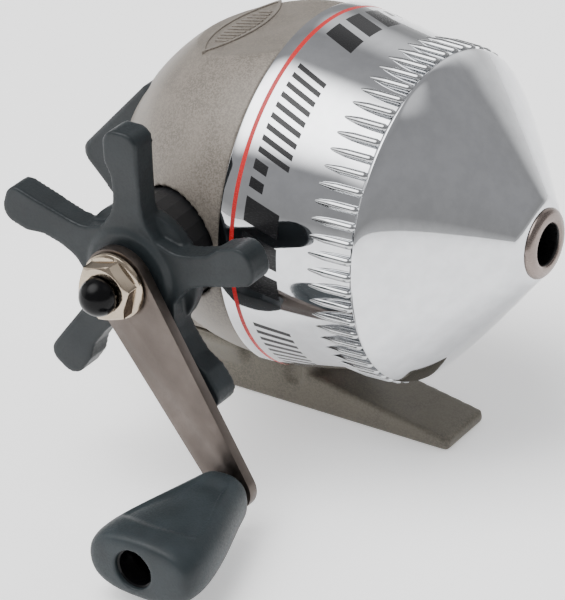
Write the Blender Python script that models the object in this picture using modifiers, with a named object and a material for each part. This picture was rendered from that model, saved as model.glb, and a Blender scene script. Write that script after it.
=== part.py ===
"""Spincast fishing reel, built in Blender as separate, moving pieces.

Run it with:  blender --background --python part.py
World frame: the origin is the centre of the foot's flat underside, +Z is up, +X runs along the spool's axis
towards the line guide, and the crank is on the -Y side. Sizes are in millimetres and become metres when a
mesh is made. Pieces on the spool's axis are placed by x, and pieces on the crank's shaft by how far out they
lie along -Y.
"""
import math

import bmesh
import bpy
from mathutils import Matrix, Vector

MM = 0.001
PART_NAME = "spincast_reel"

# ---------------------------------------------------------------- driving dimensions (mm)
RUNNING = 0.06          # radial clearance of a shaft in its bore
GAP = 0.3               # gap between pieces that touch
AXIS_Z = 42.9           # height of the spool's axis over the foot's underside
CASE_RADIUS = 31.6      # widest radius of the back cover
CASE_LENGTH = 39.3      # from the seam to the point where the back cover's curve would close
CASE_WALL = 1.8
SEAM_X = 3.3            # front rim of the back cover
COVER_RADIUS = 32.4     # rear rim of the front cover
COVER_WALL = 1.1
CONE_X = 28.2           # where the skirt of the front cover meets its cone
CONE_RADIUS = 29.2
NOSE_X = 47.7
NOSE_RADIUS = 7.2
GUIDE_BORE = 3.6        # radius of the hole that the line runs through
GUIDE_TUBE = 4.6
RIB_COUNT = 62
RIB_RADIUS = 29.8
RIB_WIDTH = 1.2
RIB_START_X = 18.6
FOOT_LENGTH = 64.0
FOOT_WIDTH = 12.5
FOOT_TIP = 2.4          # thickness of the foot at its two ends
STEM_TOP_Z = 11.6
FLARE_WIDTH = 17.0      # width of the stem's widest part, under the back cover
FLARE_REAR_X = -22.0
FLARE_FRONT_X = -9.8
RING_RADIUS = 29.4      # ring of the reel body that the back cover fits over
RING_WALL = 2.4
SPIGOT_RADIUS = 30.0    # ring of the reel body that the front cover fits over
RING_REAR_X = -2.0
DECK_REAR_X = 7.7
DECK_FRONT_X = 9.5
HUB_RADIUS = 5.5        # tube on the deck that carries the spool
HUB_FRONT_X = 20.6
CRANK_X = -7.6
CRANK_DROP = 0.9        # how far the crank shaft lies under the spool's axis
CRANK_THROW = 39.9
CRANK_ANGLE = math.radians(-57.6)
SHAFT_RADIUS = 2.0      # centre shaft
SHAFT_FLAT = 1.6
SHAFT_FRONT_X = 30.4
SHAFT_REAR_X = -32.4
AXLE_RADIUS = 3.0       # crank shaft
GEAR_MODULE = 0.7
GEAR_TEETH = 28
PINION_TEETH = 10
TOOTH_TIP = 0.55        # tooth height over the pitch line
TOOTH_ROOT = 0.75       # tooth depth under the pitch line
TOOTH_BACKLASH = 0.5
GEAR_FACE = 1.8         # radial width of the drive gear's teeth
SPOOL_REAR_X = 9.9
SPOOL_FRONT_X = 19.3
SPOOL_RADIUS = 23.0
SPOOL_FLANGE = 1.0
SPOOL_CORE = 9.0
LINE_RADIUS = 20.5
HEAD_REAR_X = 17.8
HEAD_FRONT_X = 26.8
HEAD_RADIUS = 25.3
HEAD_WALL = 1.2
PICKUP_X = 22.4
PICKUP_RADIUS = 0.9
PICKUP_REACH = 2.0      # how far the pickup pin stands out of the spinner head
BUTTON_HALF_WIDTH = 10.0
BUTTON_REAR_X = -41.0
BUTTON_LIP = 1.0        # half height of the button's blunt rear edge
BUTTON_SLOPE = math.radians(46.5)
BUTTON_HALF_HEIGHT = 16.0
BUTTON_FRONT_X = -23.5
BUTTON_WALL = 1.6
STAR_RADIUS = 26.6
STAR_ARMS = 5
STAR_ANGLE = math.radians(16.8)
STAR_BACK = 37.2
STAR_FRONT = 42.8
ARM_WIDTH = 5.6
PLATE_BACK = 44.0
PLATE_THICKNESS = 2.0
KNOB_LENGTH = 28.4
KNOB_HALF_WIDTH = 10.5
KNOB_HALF_HEIGHT = 5.8
PIN_RADIUS = 1.9
RATCHET_TEETH = 12
RATCHET_RADIUS = 7.2
COVER_TURN = math.radians(22.0)   # how far the front cover turns to unlock
LUG_COUNT = 3
LUG_REAR_X = 5.9
LUG_FRONT_X = 7.4
LUG_DEPTH = 1.5
LUG_SPREAD = math.radians(8.0)    # half angle of one lug
CLIP_X = 19.55          # groove of the clip that holds the spool
BUSH_INNER = 2.95
BUSH_OUTER = 3.6
POST_Z = 9.6            # posts that carry the shaft bracket, over and under the spool's axis
POST_RADIUS = 2.8
PILOT_RADIUS = 1.0      # thread of the bracket screws
BOSS_CIRCLE = 22.3
BOSS_ANGLES = (0.0, 118.0, -118.0)
BOSS_RADIUS = 2.7
DECK_SCREW_RADIUS = 1.2
DECK_SCREW_HEAD = 2.6
BRACKET_REAR_X = -20.2
BRACKET_FRONT_X = -18.7
BRACKET_HALF_WIDTH = 3.4
BEARING_COLLAR = 9.6    # round collar of the crank bearing, outside the case
BEARING_FLANGE = 20.3   # how far out the bearing's inner flange ends
BEARING_FLANGE_DEPTH = 1.4
PAD_TILT = math.radians(12.0)     # flat pad on top of the back cover
PAD_CENTRE = Vector((-12.0, 0, 69.5))
PIN_GUIDE_LOW = 17.4
BUTTON_BOSS_X = -29.0
THREAD_RADIUS = 2.6     # threaded end of the crank shaft
WEB = 2.4               # thickness of the drive gear's disc
RATCHET_DEPTH = 1.3
RATCHET_WIDTH = 1.6
RATCHET_PHASE = math.radians(83.0)
SLEEVE_RADIUS = 4.6
DRAG_NUT_RADIUS = 5.2
DRAG_NUT_DEPTH = 3.2
NUT_HEIGHT = 3.9
NUT_RADIUS = 5.5
CAP_RADIUS = 3.4
CAP_HEIGHT = 4.2
KNOB_HOLE = 3.6
KNOB_HOLE_DEPTH = 7.0
PIVOT_REACH = 10.9      # from the crank shaft to the pawl's pivot
PIVOT_ANGLE = math.radians(130.0)
PAWL_REST = math.radians(-1.2)    # how the pawl lies while the crank winds, clear of the wheel
PAWL_LENGTH = 7.8
SHAFT_FLAT_START_X = -4.8    # behind the pinion by more than the thumb button's travel
STUD_RADIUS = 1.2
STUD_SHOULDER = 1.7
STEPS = 36              # sides of the large round pieces
FINE = 24               # sides of the shafts and washers
COARSE = 12             # sides of screw holes

PITCH_GEAR = GEAR_MODULE * GEAR_TEETH / 2
PITCH_PINION = GEAR_MODULE * PINION_TEETH / 2
TOOTH_FOOT = PITCH_PINION + TOOTH_ROOT
GEAR_BACK = TOOTH_FOOT + WEB
WASHER_BACK = GEAR_BACK + GAP + 1.0
RATCHET_FRONT = WASHER_BACK + GAP
RATCHET_BACK = RATCHET_FRONT + RATCHET_WIDTH
SLEEVE_START = RATCHET_BACK + GAP
SLEEVE_END = STAR_BACK - 0.9
BEARING_END = STAR_BACK - 0.7
PLATE_FRONT = PLATE_BACK + PLATE_THICKNESS
NUT_START = PLATE_FRONT + GAP
NUT_END = NUT_START + NUT_HEIGHT
CAP_END = NUT_END + CAP_HEIGHT
KNOB_START = PLATE_FRONT + GAP
KNOB_END = KNOB_START + KNOB_LENGTH

ALONG_X = Matrix.Rotation(math.pi / 2, 4, "Y")     # local Z points along +X
OUTWARD = Matrix.Rotation(math.pi / 2, 4, "X")     # local Z points along -Y
UP = Matrix.Identity(4)
YZ_TURN = Matrix(((0, 0, 1, 0), (1, 0, 0, 0), (0, 1, 0, 0), (0, 0, 0, 1)))     # local X, Y, Z are Y, Z, X
AXIS = Vector((0, 0, AXIS_Z))
CRANK = Vector((CRANK_X, 0, AXIS_Z - CRANK_DROP))
KNOB = CRANK + CRANK_THROW * Vector((math.cos(CRANK_ANGLE), 0, math.sin(CRANK_ANGLE)))
PAWL_PIVOT = CRANK + PIVOT_REACH * Vector((math.cos(PIVOT_ANGLE), 0, math.sin(PIVOT_ANGLE)))


# ---------------------------------------------------------------- tools
def clear_scene():
    for item in list(bpy.data.objects):
        bpy.data.objects.remove(item, do_unlink=True)


def new_collection(name):
    found = bpy.data.collections.new(name)
    bpy.context.scene.collection.children.link(found)
    return found


def make_material(name, colour, roughness, metallic):
    made = bpy.data.materials.new(name)
    made.use_nodes = True
    shader = made.node_tree.nodes["Principled BSDF"]
    shader.inputs["Base Color"].default_value = (*colour, 1.0)
    shader.inputs["Roughness"].default_value = roughness
    shader.inputs["Metallic"].default_value = metallic
    return made


def place(name, data, finish, turn, at):
    """Link an object; finish is a material, or None for a cutter."""
    item = bpy.data.objects.new(name, data)
    item.matrix_world = Matrix.Translation(Vector(at) * MM) @ turn
    if finish is None:
        CUTTERS.objects.link(item)
        item.display_type = "WIRE"
        item.hide_render = True
    else:
        PARTS.objects.link(item)
        item.data.materials.clear()
        item.data.materials.append(finish)
    return item


def turned(name, outline, finish, turn=ALONG_X, at=AXIS, steps=48):
    """Turn an outline of (place along the axis, radius) points, listed down its outer side.

    An outline that starts or ends on the axis is left open; any other is closed into a ring.
    """
    mesh = bpy.data.meshes.new(name)
    points = [(radius * MM, 0, along * MM) for along, radius in outline]
    edges = [(i, i + 1) for i in range(len(points) - 1)]
    if outline[0][1] > 0 and outline[-1][1] > 0:
        edges.append((len(points) - 1, 0))
    mesh.from_pydata(points, edges, [])
    item = place(name, mesh, finish, turn, at)
    screw = item.modifiers.new("turn", "SCREW")
    screw.axis = "Z"
    screw.angle = 2 * math.pi
    screw.steps = steps
    screw.render_steps = steps
    screw.use_merge_vertices = True
    screw.merge_threshold = 0.00001
    screw.use_smooth_shade = True
    return item


def rod(name, start, end, radius, finish, turn=ALONG_X, at=AXIS, steps=24, chamfer=0.0):
    """A solid round bar with chamfered ends."""
    outline = [(end, 0), (end, radius - chamfer), (end - chamfer, radius)]
    outline += [(start + chamfer, radius), (start, radius - chamfer), (start, 0)]
    if chamfer == 0:
        outline = [(end, 0), (end, radius), (start, radius), (start, 0)]
    return turned(name, outline, finish, turn, at, steps)


def tube(name, start, end, inner, outer, finish, turn=ALONG_X, at=AXIS, steps=24):
    outline = [(end, inner), (end, outer), (start, outer), (start, inner)]
    return turned(name, outline, finish, turn, at, steps)


def curve_mesh(name, curve):
    """Turn a curve into a mesh with its caps welded on, and remove the curve."""
    holder = bpy.data.objects.new(name + "_curve", curve)
    bpy.context.scene.collection.objects.link(holder)
    bpy.context.view_layer.update()
    seen = holder.evaluated_get(bpy.context.evaluated_depsgraph_get())
    mesh = bpy.data.meshes.new_from_object(seen)
    bpy.data.objects.remove(holder, do_unlink=True)
    bpy.data.curves.remove(curve)
    work = bmesh.new()
    work.from_mesh(mesh)
    bmesh.ops.remove_doubles(work, verts=work.verts, dist=0.000001)
    work.to_mesh(mesh)
    work.free()
    return mesh


def plate(name, outline, low, high, finish, turn=OUTWARD, at=(0, 0, 0)):
    """Extrude a flat closed outline from low to high along the turned local Z axis."""
    curve = bpy.data.curves.new(name, "CURVE")
    curve.dimensions = "2D"
    curve.fill_mode = "BOTH"
    curve.extrude = (high - low) / 2 * MM
    spline = curve.splines.new("POLY")
    spline.points.add(len(outline) - 1)
    for point, (across, up) in zip(spline.points, outline):
        point.co = (across * MM, up * MM, 0, 1)
    spline.use_cyclic_u = True
    mesh = curve_mesh(name, curve)
    mesh.transform(Matrix.Translation((0, 0, (low + high) / 2 * MM)))
    return place(name, mesh, finish, turn, at)


def blocks(name, boxes, finish, turn=Matrix.Identity(4), at=(0, 0, 0)):
    """Several separate boxes in one mesh; each is a matrix that places a unit cube, in millimetres."""
    work = bmesh.new()
    for matrix in boxes:
        bmesh.ops.create_cube(work, size=1.0, matrix=Matrix.Scale(MM, 4) @ matrix)
    mesh = bpy.data.meshes.new(name)
    work.to_mesh(mesh)
    work.free()
    return place(name, mesh, finish, turn, at)


def box_between(low, high):
    low = Vector(low)
    high = Vector(high)
    return Matrix.Translation((low + high) / 2) @ Matrix.Diagonal((*(high - low), 1))


def box(name, low, high, finish=None, at=(0, 0, 0)):
    return blocks(name, [box_between(low, high)], finish, at=at)


def combine(item, tool, operation):
    step = item.modifiers.new(operation.lower() + "_" + tool.name, "BOOLEAN")
    step.operation = operation
    # the exact solver leaves these three open, because many of their faces are flush
    step.solver = "MANIFOLD" if item.name in ("reel_body", "back_cover", "star_drag") else "EXACT"
    step.object = tool
    return item


def cut(item, *tools):
    for tool in tools:
        combine(item, tool, "DIFFERENCE")
    return item


def join(item, *tools):
    for tool in tools:
        combine(item, tool, "UNION")
    return item


def soften(item, width, segments=2, angle=40.0):
    bevel = item.modifiers.new("soft_edges", "BEVEL")
    bevel.width = width * MM
    bevel.segments = segments
    bevel.limit_method = "ANGLE"
    bevel.angle_limit = math.radians(angle)
    bevel.use_clamp_overlap = True
    return item


def polygon(count, across_corners, phase=0.0):
    """Corners of a regular polygon."""
    step = 2 * math.pi / count
    corners = []
    for index in range(count):
        angle = phase + index * step
        corners.append((across_corners * math.cos(angle), across_corners * math.sin(angle)))
    return corners


def arc(centre, radius, start, end, count):
    """Points on an arc, angles in radians."""
    found = []
    for index in range(count + 1):
        angle = start + (end - start) * index / count
        found.append((centre[0] + radius * math.cos(angle), centre[1] + radius * math.sin(angle)))
    return found


# ---------------------------------------------------------------- shared curves
def case_radius(x, inset=0.0):
    """Radius of the back cover's domed outside at x, or of its inside when inset is the wall."""
    share = (SEAM_X - x) / (CASE_LENGTH - inset)
    return (CASE_RADIUS - inset) * max(0.0, 1 - max(0.0, share) ** 2.4) ** 0.80


def skirt_radius(x):
    """Radius of the front cover's tapered skirt, which runs out flush with the ribs at RIB_START_X."""
    rear_x = SEAM_X + GAP
    slope = (COVER_RADIUS - RIB_RADIUS) / (RIB_START_X - rear_x)
    return COVER_RADIUS - slope * (x - rear_x)


def cone_point(share, inset=0.0):
    """Point (x, radius) on the cone of the front cover, a curve with a full shoulder and a straight run."""
    shoulder = (CONE_X + 2.3, CONE_RADIUS - 0.6)
    start = (CONE_X, CONE_RADIUS)
    end = (NOSE_X, NOSE_RADIUS)
    rest = 1 - share
    x = rest * rest * start[0] + 2 * rest * share * shoulder[0] + share * share * end[0]
    radius = rest * rest * start[1] + 2 * rest * share * shoulder[1] + share * share * end[1]
    run_x = 2 * rest * (shoulder[0] - start[0]) + 2 * share * (end[0] - shoulder[0])
    run_radius = 2 * rest * (shoulder[1] - start[1]) + 2 * share * (end[1] - shoulder[1])
    length = math.hypot(run_x, run_radius)
    return x + inset * run_radius / length, radius - inset * run_x / length


# ---------------------------------------------------------------- front cover
def build_front_cover():
    rear_x = SEAM_X + GAP
    steps = 4
    outside = [cone_point(1 - index / steps) for index in range(steps + 1)]
    skirt_end = CONE_X - 0.9
    inside = [cone_point(index / steps, COVER_WALL) for index in range(steps)]
    boss_depth = 2.6
    guide_seat = GUIDE_TUBE + GAP / 2
    outline = outside + [(skirt_end, skirt_radius(skirt_end)), (rear_x, COVER_RADIUS)]
    outline += [(rear_x, COVER_RADIUS - COVER_WALL)]
    outline += [(skirt_end, skirt_radius(skirt_end) - COVER_WALL)]
    outline += inside
    outline += [(NOSE_X - boss_depth, NOSE_RADIUS + 0.4 * boss_depth), (NOSE_X - boss_depth, guide_seat)]
    outline += [(NOSE_X, guide_seat)]
    cover = turned("front_cover", outline, CHROME, steps=STEPS)
    ribs = []
    length = CONE_X - RIB_START_X
    height = 1.6
    for index in range(RIB_COUNT):
        spin = Matrix.Rotation(2 * math.pi * index / RIB_COUNT, 4, "X")
        middle = Matrix.Translation((RIB_START_X + length / 2, 0, RIB_RADIUS - height / 2))
        ribs.append(spin @ middle @ Matrix.Diagonal((length, RIB_WIDTH, height, 1)))
    join(cover, blocks("rib_ring", ribs, None, at=AXIS))
    join(cover, *[lug_block("cover_lug_%d" % index, index) for index in range(LUG_COUNT)])
    return cover


def ring_sector(name, start, end, low_x, high_x, inner, outer):
    """A curved block round the spool's axis, between two angles measured from +Y towards +Z."""
    outline = arc((0, 0), outer, start, end, 4) + arc((0, 0), inner, end, start, 4)
    return plate(name, outline, low_x, high_x, None, YZ_TURN, AXIS)


def lug_block(name, index):
    """One of the lugs inside the front cover's rim that hook into the reel body."""
    middle = 2 * math.pi * index / LUG_COUNT + math.radians(30)
    outer = skirt_radius(LUG_FRONT_X) - COVER_WALL / 2
    inner = SPIGOT_RADIUS - LUG_DEPTH + GAP
    return ring_sector(name, middle - LUG_SPREAD, middle + LUG_SPREAD, LUG_REAR_X, LUG_FRONT_X, inner, outer)


def lug_slots():
    """The L-shaped slots that the lugs run in: a way in from the front, then a turn to lock."""
    slots = []
    inner = SPIGOT_RADIUS - LUG_DEPTH
    outer = SPIGOT_RADIUS + 2
    slack = math.radians(1.0)
    for index in range(LUG_COUNT):
        middle = 2 * math.pi * index / LUG_COUNT + math.radians(30)
        low = middle - LUG_SPREAD - slack
        high = middle + LUG_SPREAD + slack + COVER_TURN
        slots.append(ring_sector("lock_slot_%d" % index, low, high,
                                 LUG_REAR_X - GAP, LUG_FRONT_X + GAP, inner, outer))
        entry = middle + COVER_TURN - LUG_SPREAD - slack
        slots.append(ring_sector("entry_slot_%d" % index, entry, high,
                                 LUG_REAR_X + GAP, DECK_FRONT_X + 1, inner, outer))
    return slots


def build_line_guide():
    lip = NOSE_X + GAP
    outline = [(lip + 1.0, GUIDE_BORE + 0.5), (lip + 1.0, GUIDE_TUBE + 1.2), (lip + 0.6, NOSE_RADIUS - 1.0)]
    outline += [(lip, NOSE_RADIUS - 0.4), (lip, GUIDE_TUBE), (NOSE_X - 4.0, GUIDE_TUBE)]
    outline += [(NOSE_X - 4.0, GUIDE_BORE + 0.3), (NOSE_X - 3.6, GUIDE_BORE), (lip + 0.6, GUIDE_BORE)]
    return turned("line_guide", outline, STEEL, steps=32)


# ---------------------------------------------------------------- reel body with its foot
def build_reel_body():
    half = FOOT_LENGTH / 2
    stem_front = SEAM_X
    foot = [(-half, 0), (half, 0), (half, FOOT_TIP), (stem_front, 7.6), (stem_front, STEM_TOP_Z)]
    foot += [(FLARE_REAR_X + 1.0, STEM_TOP_Z), (FLARE_REAR_X - 3.0, 5.2), (-half, FOOT_TIP)]
    width = FOOT_WIDTH / 2
    body = plate("reel_body", foot, -width, width, PAINT)
    soften(body, 0.7)
    flare = plate("stem_flare", flare_section(), FLARE_REAR_X, FLARE_FRONT_X, None, YZ_TURN)
    soften(flare, 1.2, angle=50.0)
    ring_inner = RING_RADIUS - RING_WALL
    ring = [(DECK_FRONT_X, 0), (DECK_FRONT_X, SPIGOT_RADIUS - 0.3), (DECK_FRONT_X - 0.3, SPIGOT_RADIUS)]
    ring += [(SEAM_X + GAP, SPIGOT_RADIUS), (SEAM_X + GAP, RING_RADIUS), (RING_REAR_X, RING_RADIUS)]
    ring += [(RING_REAR_X, ring_inner), (DECK_REAR_X, ring_inner), (DECK_REAR_X, 0)]
    deck = turned("deck", ring, None, steps=STEPS)
    neck = box("stem_neck", (RING_REAR_X + 0.2, -width + 0.3, STEM_TOP_Z - 3), (SEAM_X, width - 0.3, 15.4))
    hub = rod("spool_hub", DECK_REAR_X - 1.6, HUB_FRONT_X, HUB_RADIUS, None)
    posts = [post("bracket_post_%d" % side, side) for side in (-1, 1)]
    join(body, flare, neck, deck, hub, *posts)
    cut(body, rod("bush_bore", DECK_REAR_X - 3, HUB_FRONT_X + 1, BUSH_OUTER + GAP / 2, None))
    cut(body, rod("bearing_notch", 15, 45, BEARING_COLLAR + GAP, None, OUTWARD, CRANK, FINE))
    cut(body, *lug_slots())
    for index, (across, up) in enumerate(boss_places()):
        centre = AXIS + Vector((0, across, up))
        cut(body, rod("deck_screw_bore_%d" % index, DECK_REAR_X - 2, DECK_FRONT_X + 1,
                      DECK_SCREW_RADIUS + 2 * GAP, None, at=centre, steps=COARSE))
        cut(body, rod("deck_screw_sink_%d" % index, DECK_FRONT_X - 0.9, DECK_FRONT_X + 1,
                      DECK_SCREW_HEAD + 2 * GAP, None, at=centre, steps=COARSE))
    clip_groove = tube("spool_clip_groove", CLIP_X, CLIP_X + 0.9, HUB_RADIUS - 0.5, HUB_RADIUS + 2, None)
    cut(body, clip_groove)
    cut(body, pad_cutter("ring_flat", CASE_WALL + GAP, (SEAM_X - PAD_CENTRE.x) / math.cos(PAD_TILT)))
    for side in (-1, 1):
        notch_outer = side * (width + 1)
        notch_inner = side * (width - 0.8)
        low = (-1.8, min(notch_outer, notch_inner), 4.8)
        high = (1.6, max(notch_outer, notch_inner), 9.2)
        cut(body, box("thumb_notch_%d" % side, low, high))
    for side in (-1, 1):
        centre = AXIS + Vector((0, 0, side * POST_Z))
        pilot = PILOT_RADIUS + GAP
        cut(body, rod("post_pilot_%d" % side, BRACKET_FRONT_X - 1, -11.5, pilot, None, at=centre, steps=COARSE))
    return body


def flare_section():
    """Section of the stem under the back cover, seen from the front: wide on top, narrow at the foot."""
    half = FLARE_WIDTH / 2
    brim = STEM_TOP_Z - 1.5
    return [(-6.0, 4.5), (6.0, 4.5), (half, brim), (half, STEM_TOP_Z), (-half, STEM_TOP_Z), (-half, brim)]


def boss_places():
    """Where the deck's screws sit, as offsets from the spool's axis."""
    return [on_circle(BOSS_CIRCLE, math.radians(angle)) for angle in BOSS_ANGLES]


def post(name, side):
    """A post that reaches back from the deck to carry the rear shaft bracket."""
    start = BRACKET_FRONT_X + GAP
    centre = AXIS + Vector((0, 0, side * POST_Z))
    return rod(name, start, DECK_REAR_X + 1, POST_RADIUS, None, at=centre, steps=16)


def build_back_cover():
    steps = 9
    rear_x = -35.0
    run = SEAM_X - rear_x
    outside = []
    for index in range(steps + 1):
        x = SEAM_X - run * math.sin(index / steps * math.pi / 2)
        outside.append((x, case_radius(x)))
    cover = turned("back_cover", [(SEAM_X, 0)] + outside + [(rear_x, 0)], PAINT, steps=STEPS)
    half = FLARE_WIDTH / 2
    chin = box("case_chin", (FLARE_REAR_X, -half, STEM_TOP_Z + GAP), (FLARE_FRONT_X, half, AXIS_Z - 12))
    soften(chin, 1.0)
    cavity_rear = rear_x + 2.4
    inner_run = SEAM_X - cavity_rear
    inside = []
    for index in range(steps + 1):
        x = SEAM_X - inner_run * math.sin(index / steps * math.pi / 2)
        inside.append((x, case_radius(x, CASE_WALL)))
    outline = [(SEAM_X + 1, 0), (SEAM_X + 1, inside[0][1])] + inside + [(cavity_rear, 0)]
    cavity = turned("case_cavity", outline,
                    None, steps=STEPS)
    cut(cavity, pad_cutter("cavity_ceiling", CASE_WALL))
    rebate = rod("case_rebate", RING_REAR_X - GAP, SEAM_X + 1, RING_RADIUS + GAP, None, steps=STEPS)
    join(cover, chin)
    cut(rebate, pad_cutter("rebate_ceiling", CASE_WALL))
    cut(cover, cavity, rebate, pad_cutter("pad_plane", 0.0))
    opening_y = BUTTON_HALF_WIDTH + GAP
    opening_z = BUTTON_HALF_HEIGHT + GAP
    cut(cover, box("button_opening", (rear_x - 2, -opening_y, AXIS_Z - opening_z),
                   (BUTTON_FRONT_X + 1, opening_y, AXIS_Z + opening_z)))
    cut(cover, rod("bearing_hole", 15, 45, BEARING_COLLAR + GAP, None, OUTWARD, CRANK, FINE))
    stem_half = FOOT_WIDTH / 2 + GAP
    cut(cover, box("stem_opening", (FLARE_FRONT_X - 1, -stem_half, 5), (SEAM_X + 1, stem_half, 17)))
    seat_high = (FLARE_FRONT_X + GAP, half + 1, STEM_TOP_Z + GAP)
    cut(cover, box("stem_seat", (FLARE_REAR_X - 3, -half - 1, 5), seat_high))
    for index, (across, up) in enumerate(boss_places()):
        centre = AXIS + Vector((0, across, up))
        end_x = DECK_REAR_X - GAP
        start_x = -20.5
        join(cover, rod("screw_boss_%d" % index, start_x, end_x, BOSS_RADIUS, None, at=centre, steps=COARSE))
        pilot = DECK_SCREW_RADIUS + GAP
        cut(cover, rod("screw_pilot_%d" % index, end_x - 9, end_x + 1, pilot, None, at=centre, steps=COARSE))
    badge = plate("pad_badge", lens_outline(12.5, 4.2), -0.9, 0.3, None, pad_turn(), PAD_CENTRE)
    join(cover, badge)
    return cover


def pad_turn():
    return Matrix.Rotation(-PAD_TILT, 4, "Y")


def pad_cutter(name, depth, front_x=20.0):
    """A large block whose underside is the flat pad on top of the back cover, or lies depth under it."""
    size = 80.0
    shape = box_between((front_x - size, -size / 2, -depth), (front_x, size / 2, size - depth))
    return blocks(name, [shape], None, pad_turn(), PAD_CENTRE)


def lens_outline(half_length, half_width):
    """A pointed oval, made of two equal arcs, long across the reel."""
    radius = (half_length ** 2 + half_width ** 2) / (2 * half_width)
    reach = math.asin(half_length / radius)
    front = arc((half_width - radius, 0), radius, -reach, reach, 8)
    rear = arc((radius - half_width, 0), radius, math.pi - reach, math.pi + reach, 8)
    return front[:-1] + rear[:-1]


def build_deck_screws():
    for index, (across, up) in enumerate(boss_places()):
        head = DECK_FRONT_X
        tip = DECK_REAR_X - 8
        outline = [(head, 0), (head, DECK_SCREW_HEAD), (head - 0.6, DECK_SCREW_HEAD)]
        outline += [(head - 0.6, DECK_SCREW_RADIUS), (tip, DECK_SCREW_RADIUS), (tip, 0)]
        centre = AXIS + Vector((0, across, up))
        screw = turned("deck_screw_%d" % (index + 1), outline, STEEL, at=centre, steps=16)
        cross_slot(screw, head, across, up)


def cross_slot(screw, head, across, up):
    """Cut a cross recess into a screw's head; head is the x of its face."""
    long_side = 3.0
    short_side = 0.7
    depth = 0.35
    shapes = []
    for size_y, size_z in ((long_side, short_side), (short_side, long_side)):
        size = Matrix.Diagonal((depth * 2, size_y, size_z, 1))
        shapes.append(Matrix.Translation((head, across, up)) @ size)
    for index, shape in enumerate(shapes):
        cut(screw, blocks("%s_recess_%d" % (screw.name, index), [shape], None, at=AXIS))


# ---------------------------------------------------------------- spool and line
def build_spool():
    bore = HUB_RADIUS + GAP
    front = SPOOL_FRONT_X
    rear = SPOOL_REAR_X
    outline = [(front, bore), (front, SPOOL_RADIUS), (front - SPOOL_FLANGE, SPOOL_RADIUS)]
    outline += [(front - SPOOL_FLANGE, SPOOL_CORE), (rear + SPOOL_FLANGE, SPOOL_CORE)]
    outline += [(rear + SPOOL_FLANGE, SPOOL_RADIUS), (rear, SPOOL_RADIUS), (rear, bore)]
    turned("spool", outline, ALLOY, steps=STEPS)
    line_start = rear + SPOOL_FLANGE + 0.1
    line_end = front - SPOOL_FLANGE - 0.1
    tube("line_winding", line_start, line_end, SPOOL_CORE + 0.1, LINE_RADIUS, LINE, steps=STEPS)
    clip = tube("spool_clip", CLIP_X + 0.15, CLIP_X + 0.75, HUB_RADIUS - 0.35, HUB_RADIUS + 1.6, STEEL)
    cut(clip, box("spool_clip_mouth", (CLIP_X - 1, -4.2, AXIS_Z - 12), (CLIP_X + 2, 4.2, AXIS_Z)))


# ---------------------------------------------------------------- rotor: shaft, spinner head, pickup pin
def build_rotor():
    shaft = rod("centre_shaft", SHAFT_REAR_X, SHAFT_FRONT_X, SHAFT_RADIUS, STEEL, chamfer=0.3)
    flat_start = SHAFT_FLAT_START_X
    flat_end = HEAD_FRONT_X - 1.5
    for side in (-1, 1):
        low = (flat_start, -3, side * SHAFT_FLAT - (0 if side > 0 else 2))
        high = (flat_end, 3, side * SHAFT_FLAT + (2 if side > 0 else 0))
        cut(shaft, box("shaft_flat_%d" % side, low, high, at=AXIS))
    inner = HEAD_RADIUS - HEAD_WALL
    face = HEAD_FRONT_X
    web = face - 1.5
    bore = SHAFT_RADIUS + RUNNING
    hub_end = HUB_FRONT_X + 0.9
    outline = [(face, bore), (face, HEAD_RADIUS - 2.4), (face - 0.7, HEAD_RADIUS - 0.7)]
    outline += [(face - 2.2, HEAD_RADIUS), (HEAD_REAR_X, HEAD_RADIUS), (HEAD_REAR_X, inner)]
    outline += [(web, inner), (web, 4.6), (hub_end, 4.6), (hub_end, bore)]
    head = turned("spinner_head", outline, ALLOY, steps=STEPS)
    lug_high = (web + 0.5, 2.2, PIN_GUIDE_LOW + 1.6)
    lug = box("pin_guide", (PICKUP_X - 2.2, -2.2, PIN_GUIDE_LOW), lug_high, at=AXIS)
    join(head, lug)
    pin_line = Vector((PICKUP_X, 0, AXIS_Z))
    cut(head, rod("pin_bore", 10, 40, PICKUP_RADIUS + RUNNING, None, UP, pin_line, COARSE))
    build_pickup(inner, pin_line)
    nut_rear = face + GAP
    nut = plate("head_nut", polygon(6, 3.9), nut_rear, nut_rear + 2.4, BRASS, YZ_TURN, AXIS)
    cut(nut, rod("head_nut_bore", nut_rear - 1, nut_rear + 4, bore, None))
    tube("shaft_clip", BUTTON_BOSS_X + GAP, BUTTON_BOSS_X + 0.9, bore, 3.6, STEEL)


def build_pickup(inner, pin_line):
    tip = HEAD_RADIUS + PICKUP_REACH
    collar_top = inner - 0.35
    collar = collar_top - 0.6
    foot = PIN_GUIDE_LOW - 0.2
    outline = [(tip, 0), (tip, PICKUP_RADIUS - 0.3), (tip - 0.3, PICKUP_RADIUS), (collar_top, PICKUP_RADIUS)]
    outline += [(collar_top, 1.7), (collar, 1.7), (collar, PICKUP_RADIUS), (foot, PICKUP_RADIUS), (foot, 0)]
    turned("pickup_pin", outline, STEEL, UP, pin_line, COARSE)
    coil("pickup_spring", PIN_GUIDE_LOW + 1.7, collar - 0.1, 1.35, 0.17, 4, UP, pin_line, 8)


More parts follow.
